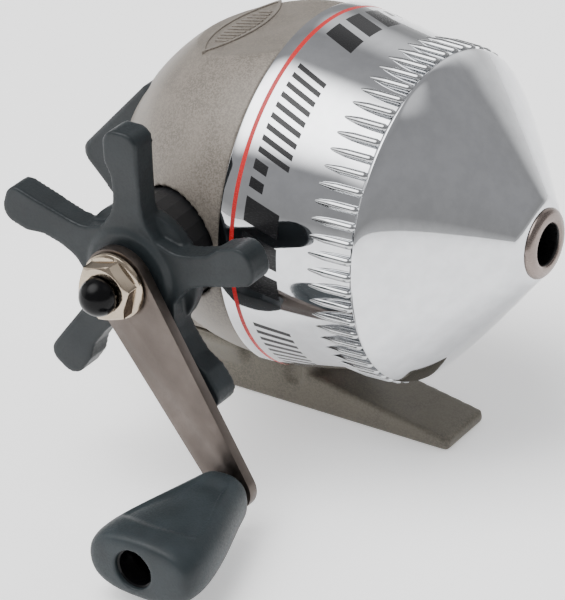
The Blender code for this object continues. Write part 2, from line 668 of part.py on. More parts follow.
def coil(name, start, end, radius, wire, turns, turn, at, per_turn):
    """A helical spring of round wire, as a filled curve turned into a mesh."""
    curve = bpy.data.curves.new(name, "CURVE")
    curve.dimensions = "3D"
    curve.bevel_depth = wire * MM
    curve.bevel_resolution = 1
    curve.use_fill_caps = True
    spline = curve.splines.new("POLY")
    count = turns * per_turn
    spline.points.add(count)
    low = start + wire
    high = end - wire
    for index, point in enumerate(spline.points):
        angle = 2 * math.pi * index / per_turn
        height = low + (high - low) * index / count
        point.co = (radius * math.cos(angle) * MM, radius * math.sin(angle) * MM, height * MM, 1)
    return place(name, curve_mesh(name, curve), STEEL, turn, at)


# ---------------------------------------------------------------- gears
def build_pinion():
    """Pinion on the centre shaft: straight teeth, then a neck that runs in the bush."""
    tip = PITCH_PINION + TOOTH_TIP
    root = PITCH_PINION - TOOTH_ROOT
    pitch = 2 * math.pi / PINION_TEETH
    at_pitch = (math.pi * GEAR_MODULE - TOOTH_BACKLASH) / 2
    outline = []
    for index in range(PINION_TEETH):
        # a gap, not a tooth, faces the drive gear at rest
        middle = -math.pi + (index + 0.5) * pitch
        for radius, width in ((root, at_pitch * 1.45), (PITCH_PINION, at_pitch), (tip, at_pitch * 0.5)):
            outline.append(on_circle(radius, middle - width / 2 / radius))
        for radius, width in ((tip, at_pitch * 0.5), (PITCH_PINION, at_pitch), (root, at_pitch * 1.45)):
            outline.append(on_circle(radius, middle + width / 2 / radius))
    rear = CRANK_X + PITCH_GEAR - 1.9
    front = CRANK_X + PITCH_GEAR + 1.9
    pinion = plate("pinion_gear", outline, rear, front, BRASS, YZ_TURN, AXIS)
    neck_front = HUB_FRONT_X - 0.4
    join(pinion, rod("pinion_neck", front - 0.5, neck_front, BUSH_INNER - RUNNING, None))
    cut(pinion, double_d_bore(rear - 1, neck_front + 1))
    bush_rear = front + GAP
    flange_front = DECK_REAR_X - 1.6 - GAP
    outline = [(HUB_FRONT_X - 0.8, BUSH_INNER), (HUB_FRONT_X - 0.8, BUSH_OUTER), (flange_front, BUSH_OUTER)]
    outline += [(flange_front, HUB_RADIUS - 0.2), (bush_rear, HUB_RADIUS - 0.2), (bush_rear, BUSH_INNER)]
    turned("pinion_bush", outline, BRASS, steps=FINE)


def on_circle(radius, angle):
    return radius * math.cos(angle), radius * math.sin(angle)


def double_d_bore(start, end):
    """The shape of the centre shaft's flatted stretch, grown by the running clearance."""
    bore = rod("pinion_bore", start, end, SHAFT_RADIUS + RUNNING, None)
    flat = SHAFT_FLAT + RUNNING
    keep = box("pinion_bore_flats", (start - 1, -4, -flat), (end + 1, 4, flat), at=AXIS)
    combine(bore, keep, "INTERSECT")
    return bore


def build_drive_gear():
    """Face gear on the crank shaft; its teeth point towards the centre shaft.

    The crank shaft lies under the spool's axis, so each tooth is set off by that drop from the gear's
    own radius, and lies along the pinion's teeth when it reaches them.
    """
    tooth_top = PITCH_PINION - TOOTH_TIP
    outer = PITCH_GEAR + GEAR_FACE / 2
    inner = PITCH_GEAR - GEAR_FACE / 2
    bore = AXLE_RADIUS + RUNNING
    outline = [(GEAR_BACK, bore), (GEAR_BACK, outer), (TOOTH_FOOT, outer), (TOOTH_FOOT, bore)]
    gear = turned("drive_gear", outline, ALLOY, OUTWARD, CRANK, STEPS)
    work = bmesh.new()
    at_pitch = (math.pi * GEAR_MODULE - TOOTH_BACKLASH) / 2
    for index in range(GEAR_TEETH):
        foot_width = at_pitch * 1.45
        made = bmesh.ops.create_cube(work, size=1.0)
        for vertex in made["verts"]:
            low = vertex.co.z < 0
            width = at_pitch * 0.5 if low else foot_width
            radius = inner if vertex.co.x < 0 else outer - 0.25
            height = tooth_top if low else TOOTH_FOOT + 0.4
            side = CRANK_DROP + math.copysign(width / 2, vertex.co.y)
            vertex.co = Vector((radius, side, height)) * MM
        spin = Matrix.Rotation(2 * math.pi * index / GEAR_TEETH, 4, "Z")
        bmesh.ops.transform(work, matrix=spin, verts=made["verts"])
    teeth = bpy.data.meshes.new("gear_teeth")
    work.to_mesh(teeth)
    work.free()
    join(gear, place("gear_teeth", teeth, None, OUTWARD, CRANK))
    return gear


# ---------------------------------------------------------------- crank shaft and drag
def build_crank_shaft():
    flange = TOOTH_FOOT - GAP
    outline = [(CAP_END - 2.6, 0), (CAP_END - 2.6, THREAD_RADIUS), (PLATE_BACK - 0.2, THREAD_RADIUS)]
    outline += [(PLATE_BACK - 0.2, AXLE_RADIUS), (flange, AXLE_RADIUS), (flange, 5.0), (flange - 1.0, 5.0)]
    outline += [(flange - 1.0, 0)]
    turned("crank_shaft", outline, STEEL, OUTWARD, CRANK, FINE)
    bore = AXLE_RADIUS + RUNNING
    tube("drag_washer", GEAR_BACK + GAP, WASHER_BACK, bore, 8.0, FIBRE, OUTWARD, CRANK, FINE)
    tube("drag_sleeve", SLEEVE_START, SLEEVE_END, bore, SLEEVE_RADIUS, BRASS, OUTWARD, CRANK, FINE)
    spring = [(STAR_BACK + 0.2, bore), (STAR_BACK - 0.2, 5.0), (STAR_BACK - 0.6, 5.0)]
    spring += [(STAR_BACK - 0.2, bore)]
    turned("drag_spring_washer", spring, STEEL, OUTWARD, CRANK, FINE)
    build_ratchet(bore)
    build_bearing()


def build_ratchet(bore):
    """Anti-reverse wheel: saw teeth that slope the way the crank winds."""
    outline = []
    step = 2 * math.pi / RATCHET_TEETH
    for index in range(RATCHET_TEETH):
        start = RATCHET_PHASE - step * index
        outline.append(on_circle(RATCHET_RADIUS - RATCHET_DEPTH, start))
        outline.append(on_circle(RATCHET_RADIUS, start))
        outline.append(on_circle(RATCHET_RADIUS, start - step * 0.16))
    ratchet = plate("ratchet_wheel", outline, RATCHET_FRONT, RATCHET_BACK, STEEL, OUTWARD, CRANK)
    cut(ratchet, rod("ratchet_bore", RATCHET_FRONT - 1, RATCHET_BACK + 1, bore, None, OUTWARD, CRANK))


def build_bearing():
    """The black bearing that carries the crank shaft through the side of the back cover."""
    bore = SLEEVE_RADIUS + GAP / 2
    end = BEARING_END
    flange = BEARING_FLANGE
    inner_face = flange - BEARING_FLANGE_DEPTH
    rim = PIVOT_REACH + STUD_RADIUS + 0.6
    outline = [(end, bore), (end, BEARING_COLLAR - 0.6), (end - 0.6, BEARING_COLLAR)]
    outline += [(flange, BEARING_COLLAR)]
    outline += [(flange, rim), (inner_face, rim), (inner_face, 7.0)]
    outline += [(RATCHET_BACK + 0.8, 7.0), (RATCHET_BACK + 0.8, bore)]
    bearing = turned("crank_bearing", outline, BLACK, OUTWARD, CRANK, FINE)
    cut(bearing, rod("stud_bore", inner_face - 1, flange + 1, STUD_RADIUS + GAP / 2, None, OUTWARD,
                     PAWL_PIVOT, COARSE))


# ---------------------------------------------------------------- star drag wheel
def star_outline():
    """Front view of the star: five paddles with a lobe on the side that leads when it turns."""
    half = ARM_WIDTH / 2
    lobe = 1.3
    tip = STAR_RADIUS
    side = [(10.6, -half - 0.5), (14.0, -half), (tip - 2.4, -half)]
    end = arc((tip - 2.4, -half + 2.4), 2.4, -math.pi / 2, 0, 3)[1:]
    top = arc((tip - 2.8, half + lobe - 2.8), 2.8, 0, math.pi / 2, 3)
    back = [(tip - 6.6, half + lobe), (tip - 8.6, half + 0.1), (14.0, half), (10.6, half + 0.5)]
    arm = side + end + top + back
    outline = []
    for index in range(STAR_ARMS):
        turn = STAR_ANGLE + 2 * math.pi * index / STAR_ARMS
        for across, up in arm:
            outline.append((across * math.cos(turn) - up * math.sin(turn),
                            across * math.sin(turn) + up * math.cos(turn)))
        valley = turn + math.pi / STAR_ARMS
        outline.append(on_circle(9.4, valley))
    return outline


def build_star():
    star = plate("star_drag", star_outline(), STAR_BACK, STAR_FRONT, PLASTIC, OUTWARD, CRANK)
    soften(star, 0.9, 1)
    disc = [(STAR_BACK + 2.4, 0), (STAR_BACK + 2.4, 9.0), (STAR_BACK + 1.9, 11.5), (STAR_BACK - 0.3, 11.5)]
    disc += [(STAR_BACK - 0.3, 0)]
    join(star, turned("star_disc", disc, None, OUTWARD, CRANK, FINE))
    cut(star, rod("star_pocket", STAR_BACK - 2, STAR_BACK + 0.5, 5.4, None, OUTWARD, CRANK))
    nut_start = STAR_BACK + 0.5
    nut_end = nut_start + DRAG_NUT_DEPTH
    cut(star, plate("star_nut_pocket", polygon(6, DRAG_NUT_RADIUS + GAP), STAR_BACK, nut_end + GAP, None,
                    OUTWARD, CRANK))
    cut(star, rod("star_bore", STAR_BACK, STAR_FRONT + 2, AXLE_RADIUS + GAP, None, OUTWARD, CRANK))
    nut = plate("drag_nut", polygon(6, DRAG_NUT_RADIUS), nut_start, nut_end, BRASS, OUTWARD, CRANK)
    cut(nut, rod("drag_nut_bore", STAR_BACK - 1, STAR_BACK + 5, AXLE_RADIUS + RUNNING, None, OUTWARD, CRANK))


# ---------------------------------------------------------------- crank arm, nut, cap, knob
def crank_outline():
    """Flat crank arm: round at the shaft, tapering to a smaller round end at the knob."""
    big = 6.3
    small = 3.9
    lean = math.acos((big - small) / CRANK_THROW)
    head = arc((0, 0), big, lean, 2 * math.pi - lean, 12)
    tail = arc((CRANK_THROW, 0), small, -lean, lean, 6)
    turn = CRANK_ANGLE
    found = []
    for across, up in head + tail:
        found.append((across * math.cos(turn) - up * math.sin(turn),
                      across * math.sin(turn) + up * math.cos(turn)))
    return found


def build_crank():
    arm = plate("crank_arm", crank_outline(), PLATE_BACK, PLATE_FRONT, STEEL, OUTWARD, CRANK)
    cut(arm, rod("arm_shaft_hole", PLATE_BACK - 1, PLATE_FRONT + 1, THREAD_RADIUS + RUNNING, None, OUTWARD,
                 CRANK, FINE))
    pin_hole = PIN_RADIUS + RUNNING
    cut(arm, rod("arm_pin_hole", PLATE_BACK - 1, PLATE_FRONT + 1, pin_hole, None, OUTWARD, KNOB, COARSE))
    soften(arm, 0.25, 1)
    hexagon = polygon(6, NUT_RADIUS, math.radians(15))
    nut = plate("crank_nut", hexagon, NUT_START + 0.5, NUT_END, NICKEL, OUTWARD, CRANK)
    soften(nut, 0.3, 1)
    join(nut, rod("nut_washer_face", NUT_START, NUT_START + 1.0, 6.0, None, OUTWARD, CRANK))
    nut_bore = THREAD_RADIUS + RUNNING
    cut(nut, rod("crank_nut_bore", NUT_START - 1, NUT_END + 1, nut_bore, None, OUTWARD, CRANK))
    dome = arc((CAP_END - CAP_RADIUS, 0), CAP_RADIUS, 0, math.pi / 2, 5)
    bore = THREAD_RADIUS + RUNNING
    ceiling = CAP_END - 2.3
    outline = [(CAP_END, 0)] + dome[1:]
    outline += [(NUT_END + GAP, CAP_RADIUS), (NUT_END + GAP, bore), (ceiling, bore), (ceiling, 0)]
    turned("shaft_cap", outline, BLACK, OUTWARD, CRANK, 24)
    build_knob()


def knob_sections():
    """Rings of the knob's cage: how far along, middle (across, up), half width and half height."""
    wide = KNOB_HALF_WIDTH
    high = KNOB_HALF_HEIGHT
    return [
        (0.0, 0.0, 0.0, 4.6, 4.4),
        (0.12, 0.0, 0.0, 5.0, 4.8),
        (0.45, 0.6, 0.1, wide * 0.79, high * 0.92),
        (0.80, 0.9, 0.1, wide * 1.04, high * 1.04),
        (0.97, 0.8, 0.0, wide * 0.98, high),
        (1.0, 0.8, 0.0, wide * 0.84, high * 0.82),
    ]


def build_knob():
    """Paddle knob: a coarse cage of eight-sided rings, smoothed by subdivision."""
    work = bmesh.new()
    rings = []
    for share, across, up, half_width, half_height in knob_sections():
        ring = []
        along = KNOB_START + share * KNOB_LENGTH
        for index in range(8):
            angle = 2 * math.pi * (index + 0.5) / 8
            shape = 1.08
            x = across + half_width * shape * math.copysign(abs(math.cos(angle)) ** 0.7, math.cos(angle))
            z = up + half_height * shape * math.copysign(abs(math.sin(angle)) ** 0.7, math.sin(angle))
            ring.append(work.verts.new(Vector((x, z, along)) * MM))
        rings.append(ring)
    for low, high in zip(rings, rings[1:]):
        for index in range(8):
            after = (index + 1) % 8
            work.faces.new((low[index], low[after], high[after], high[index]))
    work.faces.new(list(reversed(rings[0])))
    work.faces.new(rings[-1])
    mesh = bpy.data.meshes.new("knob")
    work.to_mesh(mesh)
    work.free()
    mesh.shade_smooth()
    knob = place("knob", mesh, PLASTIC, OUTWARD, KNOB)
    smooth = knob.modifiers.new("soft_form", "SUBSURF")
    smooth.levels = 2
    smooth.render_levels = 2
    pin_bore = PIN_RADIUS + RUNNING
    cut(knob, rod("knob_bore", KNOB_START - 3, KNOB_END + 3, pin_bore, None, OUTWARD, KNOB, FINE))
    cut(knob, rod("knob_sink", KNOB_END - KNOB_HOLE_DEPTH, KNOB_END + 3, KNOB_HOLE, None, OUTWARD, KNOB,
                  FINE))
    cut(knob, box("knob_face", (-15, -KNOB_START, -15), (15, -KNOB_START + 6, 15), at=KNOB))
    head = KNOB_END - KNOB_HOLE_DEPTH + GAP
    outline = [(head + 1.2, 0), (head + 1.2, 2.4), (head + 0.9, 2.7), (head, 2.7), (head, PIN_RADIUS)]
    outline += [(PLATE_BACK, PIN_RADIUS), (PLATE_BACK, 0)]
    turned("knob_pin", outline, STEEL, OUTWARD, KNOB, COARSE)


# ---------------------------------------------------------------- thumb button and rear bracket
def wedge(inset):
    """Side view of the thumb button; inset is the wall when this is the hollow inside it."""
    rear = BUTTON_REAR_X + inset * 1.4
    lip = BUTTON_LIP
    high = BUTTON_HALF_HEIGHT - inset
    corner = rear + (high - lip) / math.tan(BUTTON_SLOPE)
    front = BUTTON_FRONT_X + inset
    return [(rear, -lip), (corner, -high), (front, -high), (front, high), (corner, high), (rear, lip)]


def build_thumb_button():
    half = BUTTON_HALF_WIDTH
    button = plate("thumb_button", wedge(0), -half, half, PLASTIC, OUTWARD, AXIS)
    soften(button, 0.7)
    inner_half = half - BUTTON_WALL
    inside = plate("button_hollow", wedge(BUTTON_WALL), -inner_half, inner_half, None, OUTWARD, AXIS)
    cut(button, inside)
    join(button, rod("button_boss", BUTTON_REAR_X + 1.5, BUTTON_BOSS_X, 4.0, None))
    cut(button, rod("button_socket", SHAFT_REAR_X - GAP, BUTTON_BOSS_X + 1, SHAFT_RADIUS + RUNNING, None))
    rear = BRACKET_REAR_X
    front = BRACKET_FRONT_X
    bracket = plate("shaft_bracket", bracket_outline(), rear, front, ALLOY, YZ_TURN, AXIS)
    cut(bracket, rod("bracket_bore", -25, -15, SHAFT_RADIUS + RUNNING, None))
    for side in (-1, 1):
        centre = AXIS + Vector((0, 0, side * POST_Z))
        cut(bracket, rod("bracket_hole_%d" % side, -25, -15, PILOT_RADIUS + GAP, None, at=centre,
                         steps=COARSE))
        head = BRACKET_REAR_X - GAP
        outline = [(-12, 0), (-12, PILOT_RADIUS), (head, PILOT_RADIUS), (head, 2.2), (head - 1.0, 2.2)]
        outline += [(head - 1.0, 0)]
        turned("bracket_screw_%d" % (1 if side > 0 else 2), outline, STEEL, at=centre, steps=16)
    coil("return_spring", BRACKET_REAR_X - 7.6, BRACKET_REAR_X - 0.3, 2.9, 0.3, 4, ALONG_X, AXIS, 10)


def bracket_outline():
    """Strap with round ends that joins the two posts."""
    half = BRACKET_HALF_WIDTH
    top = arc((0, POST_Z), half, 0, math.pi, 6)
    bottom = arc((0, -POST_Z), half, math.pi, 2 * math.pi, 6)
    return top + bottom


# ---------------------------------------------------------------- anti-reverse pawl
def build_pawl():
    """Pawl held clear of the ratchet; it swings down into a gap to stop the crank from turning back."""
    edge = arc((0, 0), 2.0, math.radians(80), math.radians(285), 9)
    edge += [(2.4, -1.1), (5.0, -0.35), (6.9, -0.75), (PAWL_LENGTH - 0.15, -0.75)]
    edge += [(PAWL_LENGTH, 0.5), (6.6, 1.0)]
    outline = []
    for across, up in edge:
        outline.append((across * math.cos(PAWL_REST) - up * math.sin(PAWL_REST),
                        across * math.sin(PAWL_REST) + up * math.cos(PAWL_REST)))
    low = RATCHET_FRONT + 0.1
    high = RATCHET_BACK - 0.1
    pawl = plate("anti_reverse_pawl", outline, low, high, STEEL, OUTWARD, PAWL_PIVOT)
    cut(pawl, rod("pawl_bore", low - 1, high + 1, STUD_RADIUS + RUNNING, None, OUTWARD, PAWL_PIVOT, COARSE))
    shoulder = high + GAP
    seat = BEARING_FLANGE - BEARING_FLANGE_DEPTH
    outline = [(BEARING_FLANGE - 0.1, 0), (BEARING_FLANGE - 0.1, STUD_RADIUS), (seat - GAP, STUD_RADIUS)]
    outline += [(seat - GAP, STUD_SHOULDER), (shoulder, STUD_SHOULDER), (shoulder, STUD_RADIUS)]
    outline += [(low - 0.2, STUD_RADIUS), (low - 0.2, 0)]
    turned("pawl_stud", outline, STEEL, OUTWARD, PAWL_PIVOT, COARSE)
    coil("pawl_spring", shoulder + 0.2, shoulder + 2.6, 2.25, 0.2, 3, OUTWARD, PAWL_PIVOT, 10)


# ---------------------------------------------------------------- build
clear_scene()
PARTS = new_collection(PART_NAME)
CUTTERS = new_collection("cutters")
CUTTERS.hide_render = True

PAINT = make_material("case_paint", (0.230, 0.200, 0.175), 0.38, 0.55)
CHROME = make_material("chrome", (0.80, 0.81, 0.83), 0.05, 1.0)
STEEL = make_material("brushed_steel", (0.36, 0.32, 0.29), 0.35, 1.0)
NICKEL = make_material("nickel", (0.62, 0.55, 0.47), 0.18, 1.0)
PLASTIC = make_material("grey_plastic", (0.050, 0.060, 0.068), 0.45, 0.0)
BLACK = make_material("black_plastic", (0.010, 0.010, 0.011), 0.25, 0.0)
ALLOY = make_material("cast_alloy", (0.55, 0.55, 0.56), 0.45, 1.0)
BRASS = make_material("brass", (0.60, 0.43, 0.18), 0.3, 1.0)
FIBRE = make_material("drag_fibre", (0.20, 0.15, 0.10), 0.8, 0.0)
LINE = make_material("clear_line", (0.55, 0.60, 0.58), 0.3, 0.0)

build_reel_body()
build_back_cover()
build_deck_screws()
build_front_cover()
build_line_guide()
build_spool()
build_rotor()
build_pinion()
build_drive_gear()
build_crank_shaft()
build_star()
build_crank()
build_thumb_button()
build_pawl()
bpy.context.view_layer.update()
print("built", len(PARTS.objects), "pieces")
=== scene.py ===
# %% [markdown]
# # A spincast fishing reel
# This notebook dresses a finished CAD model of a closed-face fishing reel. The CAD pieces already stand where
# they belong, so each cell below gives one of them a better surface, or puts a finer copy in its place.
# Sizes are written in millimetres, because that is how a reel maker thinks, and become metres in one place.

# %% Load the reel
import math

import bmesh
import bpy
from mathutils import Matrix, Vector


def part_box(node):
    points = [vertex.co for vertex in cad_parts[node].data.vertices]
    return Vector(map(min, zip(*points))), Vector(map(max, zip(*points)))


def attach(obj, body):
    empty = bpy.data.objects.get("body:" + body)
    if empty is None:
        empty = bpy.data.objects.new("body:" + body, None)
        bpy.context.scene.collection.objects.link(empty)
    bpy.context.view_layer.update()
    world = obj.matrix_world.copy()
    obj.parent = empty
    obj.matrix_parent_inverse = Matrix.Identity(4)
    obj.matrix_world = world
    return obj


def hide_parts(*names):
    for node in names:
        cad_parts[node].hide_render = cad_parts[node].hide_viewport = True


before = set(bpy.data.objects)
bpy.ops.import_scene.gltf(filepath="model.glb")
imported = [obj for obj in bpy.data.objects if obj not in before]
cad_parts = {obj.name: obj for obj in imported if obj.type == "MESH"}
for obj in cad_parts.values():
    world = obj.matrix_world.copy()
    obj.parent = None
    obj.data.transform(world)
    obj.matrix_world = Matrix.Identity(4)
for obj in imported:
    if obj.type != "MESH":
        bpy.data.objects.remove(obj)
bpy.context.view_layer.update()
MM = 0.001

# %% [markdown]
# ## The reel's main sizes
# The spool's axis runs along X at one height over the foot, and the crank's shaft crosses it a little lower.
# Both come from the CAD pieces themselves: the line guide is round about the first, the nut about the second.

# %% Axes of the reel
guide_low, guide_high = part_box("line_guide")
nut_low, nut_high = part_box("crank_nut")
pin_low, pin_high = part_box("knob_pin")
AXIS = (guide_low + guide_high) / 2 / MM
AXIS.x = 0.0
AXIS.y = 0.0
CRANK = (nut_low + nut_high) / 2 / MM
CRANK.y = 0.0
KNOB = (pin_low + pin_high) / 2 / MM
KNOB.y = 0.0
ALONG_X = Matrix.Rotation(math.pi / 2, 4, "Y")
OUTWARD = Matrix.Rotation(math.pi / 2, 4, "X")
print("spool axis", AXIS, "crank", CRANK, "knob", KNOB)

# %% [markdown]
# ## Camera
# A camera far away with a long lens keeps the foot and the cover from looking stretched, as in a catalogue.
# It looks down on the crank side of the reel, from the front left.

# %% Camera
camera_data = bpy.data.cameras.new("camera")
camera_data.lens = 217.5
camera_data.sensor_width = 36.0
camera = bpy.data.objects.new("camera", camera_data)
bpy.context.scene.collection.objects.link(camera)
camera_right = Vector((0.832184, 0.553237, -0.037401))
camera_up = Vector((-0.242129, 0.423234, 0.873068))
camera_back = Vector((0.498843, -0.717497, 0.486163))
camera.matrix_world = Matrix.Translation((0.31736, -0.46515, 0.33224)) @ Matrix(
    (camera_right, camera_up, camera_back)).transposed().to_4x4()
bpy.context.scene.camera = camera
print("camera stands", round(camera.location.length, 2), "m from the foot")

# %% [markdown]
# ## Stage and light
# Chrome shows only what is around it: a pale floor in its lower half and a grey room in its upper half. Three
# large soft boxes light the paint and the plastics. Mirrors don't see them, because a lamp with straight edges
# would draw a hard box on the cover, so the room that the next step paints has soft glows instead.

# %% Floor
FLOOR_HALF = 3.0
FLOOR_SHINE = 0.42


def add_floor():
    mesh = bpy.data.meshes.new("floor")
    corners = [(x * FLOOR_HALF, y * FLOOR_HALF, 0.0) for x, y in ((-1, -1), (1, -1), (1, 1), (-1, 1))]
    mesh.from_pydata(corners, [], [(0, 1, 2, 3)])
    floor = bpy.data.objects.new("floor", mesh)
    bpy.context.scene.collection.objects.link(floor)
    paper = bpy.data.materials.new("paper")
    paper.use_nodes = True
    shader = paper.node_tree.nodes["Principled BSDF"]
    shader.inputs["Base Color"].default_value = (0.93, 0.93, 0.93, 1)
    shader.inputs["Roughness"].default_value = 0.9
    shader.inputs["Specular IOR Level"].default_value = 0.1
    shader.inputs["Emission Color"].default_value = (1, 1, 1, 1)
    shader.inputs["Emission Strength"].default_value = FLOOR_SHINE
    mesh.materials.append(paper)


add_floor()
print("floor is", 2 * FLOOR_HALF, "m wide")

# %% Soft boxes
REEL_MIDDLE = Vector((0.0, 0.0, 0.04))


def add_soft_box(name, at, width, height, power):
    light = bpy.data.lights.new(name, "AREA")
    light.shape = "RECTANGLE"
    light.size = width
    light.size_y = height
    light.energy = power
    lamp = bpy.data.objects.new(name, light)
    lamp.location = at
    lamp.rotation_euler = (REEL_MIDDLE - Vector(at)).to_track_quat("-Z", "Y").to_euler()
    lamp.visible_glossy = False
    bpy.context.scene.collection.objects.link(lamp)


SOFT_BOXES = {"box_over": ((-0.10, -0.15, 0.90), 0.55, 0.55, 4.5),
              "box_left": ((-0.85, -0.45, 0.45), 0.40, 0.50, 3.0),
              "box_right": ((0.75, 0.55, 0.40), 0.35, 0.50, 2.5)}
for name, (at, width, height, power) in SOFT_BOXES.items():
    add_soft_box(name, at, width, height, power)
print("soft boxes:", len(SOFT_BOXES))

# %% [markdown]
# ## The room that the chrome mirrors
# The mirrored room is painted by direction. It is grey, a little lighter low down, with soft glows for the
# lamps. A glow is a dot product with a direction, squeezed by a smooth step, so its edge is never hard.

# %% Room
room = bpy.data.worlds.new("room")
bpy.context.scene.world = room
room.use_nodes = True
room_nodes = room.node_tree.nodes
room_links = room.node_tree.links
room_place = room_nodes.new("ShaderNodeTexCoord")


def room_maths(operation, *values):
    node = room_nodes.new("ShaderNodeMath")
    node.operation = operation
    for index, value in enumerate(values):
        if isinstance(value, (int, float)):
            node.inputs[index].default_value = value
        else:
            room_links.new(value, node.inputs[index])
    return node.outputs[0]


def glow(direction, inner, outer, strength):
    """A soft round light in a direction, full inside one angle and gone outside the other (degrees)."""
    dot = room_nodes.new("ShaderNodeVectorMath")
    dot.operation = "DOT_PRODUCT"
    room_links.new(room_place.outputs["Generated"], dot.inputs[0])
    dot.inputs[1].default_value = Vector(direction).normalized()
    step = room_nodes.new("ShaderNodeMapRange")
    step.interpolation_type = "SMOOTHSTEP"
    room_links.new(dot.outputs["Value"], step.inputs["Value"])
    step.inputs["From Min"].default_value = math.cos(math.radians(outer))
    step.inputs["From Max"].default_value = math.cos(math.radians(inner))
    return room_maths("MULTIPLY", step.outputs[0], strength)


room_split = room_nodes.new("ShaderNodeSeparateXYZ")
room_links.new(room_place.outputs["Generated"], room_split.inputs[0])
room_ramp = room_nodes.new("ShaderNodeValToRGB")
room_links.new(room_split.outputs["Z"], room_ramp.inputs[0])
stops = room_ramp.color_ramp.elements
stops[0].position = 0.0
stops[0].color = (0.62, 0.62, 0.62, 1)
stops[1].position = 0.10
stops[1].color = (0.36, 0.36, 0.36, 1)
for position, shade in ((0.45, 0.40), (0.75, 0.36), (0.95, 0.45)):
    stops.new(position).color = (shade, shade, shade * 1.02, 1)
GLOWS = [((-0.33, -0.34, 0.88), 6, 34, 5.5), ((-0.05, 0.80, 0.50), 4, 26, 0.9), ((0.55, 0.30, 0.80), 3, 16, 0.5),
         ((0.05, 1.0, -0.02), 6, 30, 0.7), ((-0.95, -0.30, 0.25), 6, 30, 1.0)]
light_sum = glow(*GLOWS[0])
for lamp_glow in GLOWS[1:]:
    light_sum = room_maths("ADD", light_sum, glow(*lamp_glow))
room_add = room_nodes.new("ShaderNodeMix")
room_add.data_type = "RGBA"
room_add.blend_type = "ADD"
room_add.inputs[0].default_value = 1.0
room_links.new(room_ramp.outputs["Color"], room_add.inputs[6])
room_links.new(light_sum, room_add.inputs[7])
room_links.new(room_add.outputs[2], room_nodes["Background"].inputs["Color"])
room_nodes["Background"].inputs["Strength"].default_value = 1.0
print("glows in the room:", len(GLOWS))

# %% [markdown]
# ## Writing shader maths like maths
# A node tree of twenty Math nodes is hard to read. This small class wraps one socket, so that
# `x * 2 + 1` builds the nodes for us, and `Finish` keeps a material and its tree together.

# %% Shader helpers


class Wire:
    """One socket of a node tree, with the usual arithmetic."""

    def __init__(self, finish, socket):
        self.finish = finish
        self.socket = socket

    def math(self, operation, *others):
        return self.finish.node("ShaderNodeMath", {"operation": operation}, [self, *others])

    def __add__(self, other):
        return self.math("ADD", other)

    def __radd__(self, other):
        return self.math("ADD", other)

    def __sub__(self, other):
        return self.math("SUBTRACT", other)

    def __rsub__(self, other):
        return self.finish.node("ShaderNodeMath", {"operation": "SUBTRACT"}, [other, self])

    def __mul__(self, other):
        return self.math("MULTIPLY", other)

    def __rmul__(self, other):
        return self.math("MULTIPLY", other)

    def __truediv__(self, other):
        return self.math("DIVIDE", other)

    def __lt__(self, other):
        return self.math("LESS_THAN", other)

    def __gt__(self, other):
        return self.math("GREATER_THAN", other)

    def __abs__(self):
        return self.math("ABSOLUTE")


class Finish:
    """A material built around one Principled shader."""

    def __init__(self, name, colour, roughness, metallic=0.0, coat=0.0):
        self.material = bpy.data.materials.new(name)
        self.material.use_nodes = True
        self.tree = self.material.node_tree
        self.shader = self.tree.nodes["Principled BSDF"]
        self.shader.inputs["Base Color"].default_value = (*colour, 1)
        self.shader.inputs["Roughness"].default_value = roughness
        self.shader.inputs["Metallic"].default_value = metallic
        self.shader.inputs["Coat Weight"].default_value = coat
        self.shader.inputs["Coat Roughness"].default_value = 0.12
        self.shader.inputs["Specular IOR Level"].default_value = 0.32

    def node(self, kind, settings=None, inputs=(), output=0):
        """Add a node; inputs is a list in socket order or a dict by name, of values or wires."""
        made = self.tree.nodes.new(kind)
        for key, value in (settings or {}).items():
            setattr(made, key, value)
        pairs = inputs.items() if isinstance(inputs, dict) else enumerate(inputs)
        for key, value in pairs:
            if isinstance(value, Wire):
                self.tree.links.new(value.socket, made.inputs[key])
            else:
                made.inputs[key].default_value = value
        return Wire(self, made.outputs[output])

    def place(self):
        """Object coordinates in millimetres."""
        raw = self.node("ShaderNodeTexCoord", output="Object")
        return self.node("ShaderNodeVectorMath", {"operation": "SCALE"}, {0: raw, "Scale": 1 / MM})

    def split(self, vector):
        """The x, y and z of a vector wire."""
        parts = self.tree.nodes.new("ShaderNodeSeparateXYZ")
        self.tree.links.new(vector.socket, parts.inputs[0])
        return [Wire(self, parts.outputs[axis]) for axis in "XYZ"]

    def noise(self, vector, scale, detail=3.0, roughness=0.55):
        return self.node("ShaderNodeTexNoise", {}, {"Vector": vector, "Scale": scale, "Detail": detail,
                                                    "Roughness": roughness})

    def stretch(self, vector, scale):
        return self.node("ShaderNodeMapping", {}, {"Vector": vector, "Scale": scale})

    def blend(self, share, first, second):
        """Mix two colours by a wire between 0 and 1."""
        made = self.tree.nodes.new("ShaderNodeMix")
        made.data_type = "RGBA"
        for index, value in ((0, share), (6, first), (7, second)):
            if isinstance(value, Wire):
                self.tree.links.new(value.socket, made.inputs[index])
            elif index == 0:
                made.inputs[index].default_value = value
            else:
                made.inputs[index].default_value = (*value, 1)
        return Wire(self, made.outputs[2])

    def fade(self, value, low, high, start=0.0, end=1.0):
        """Map a range of a wire smoothly onto another range."""
        return self.node("ShaderNodeMapRange", {"interpolation_type": "SMOOTHSTEP"},
                         {"Value": value, "From Min": low, "From Max": high, "To Min": start, "To Max": end})

    def feed(self, socket, wire):
        self.tree.links.new(wire.socket, self.shader.inputs[socket])

    def bump(self, height, distance_mm, strength=1.0):
        made = self.node("ShaderNodeBump", {}, {"Height": height, "Distance": distance_mm * MM,
                                                "Strength": strength})
        self.feed("Normal", made)


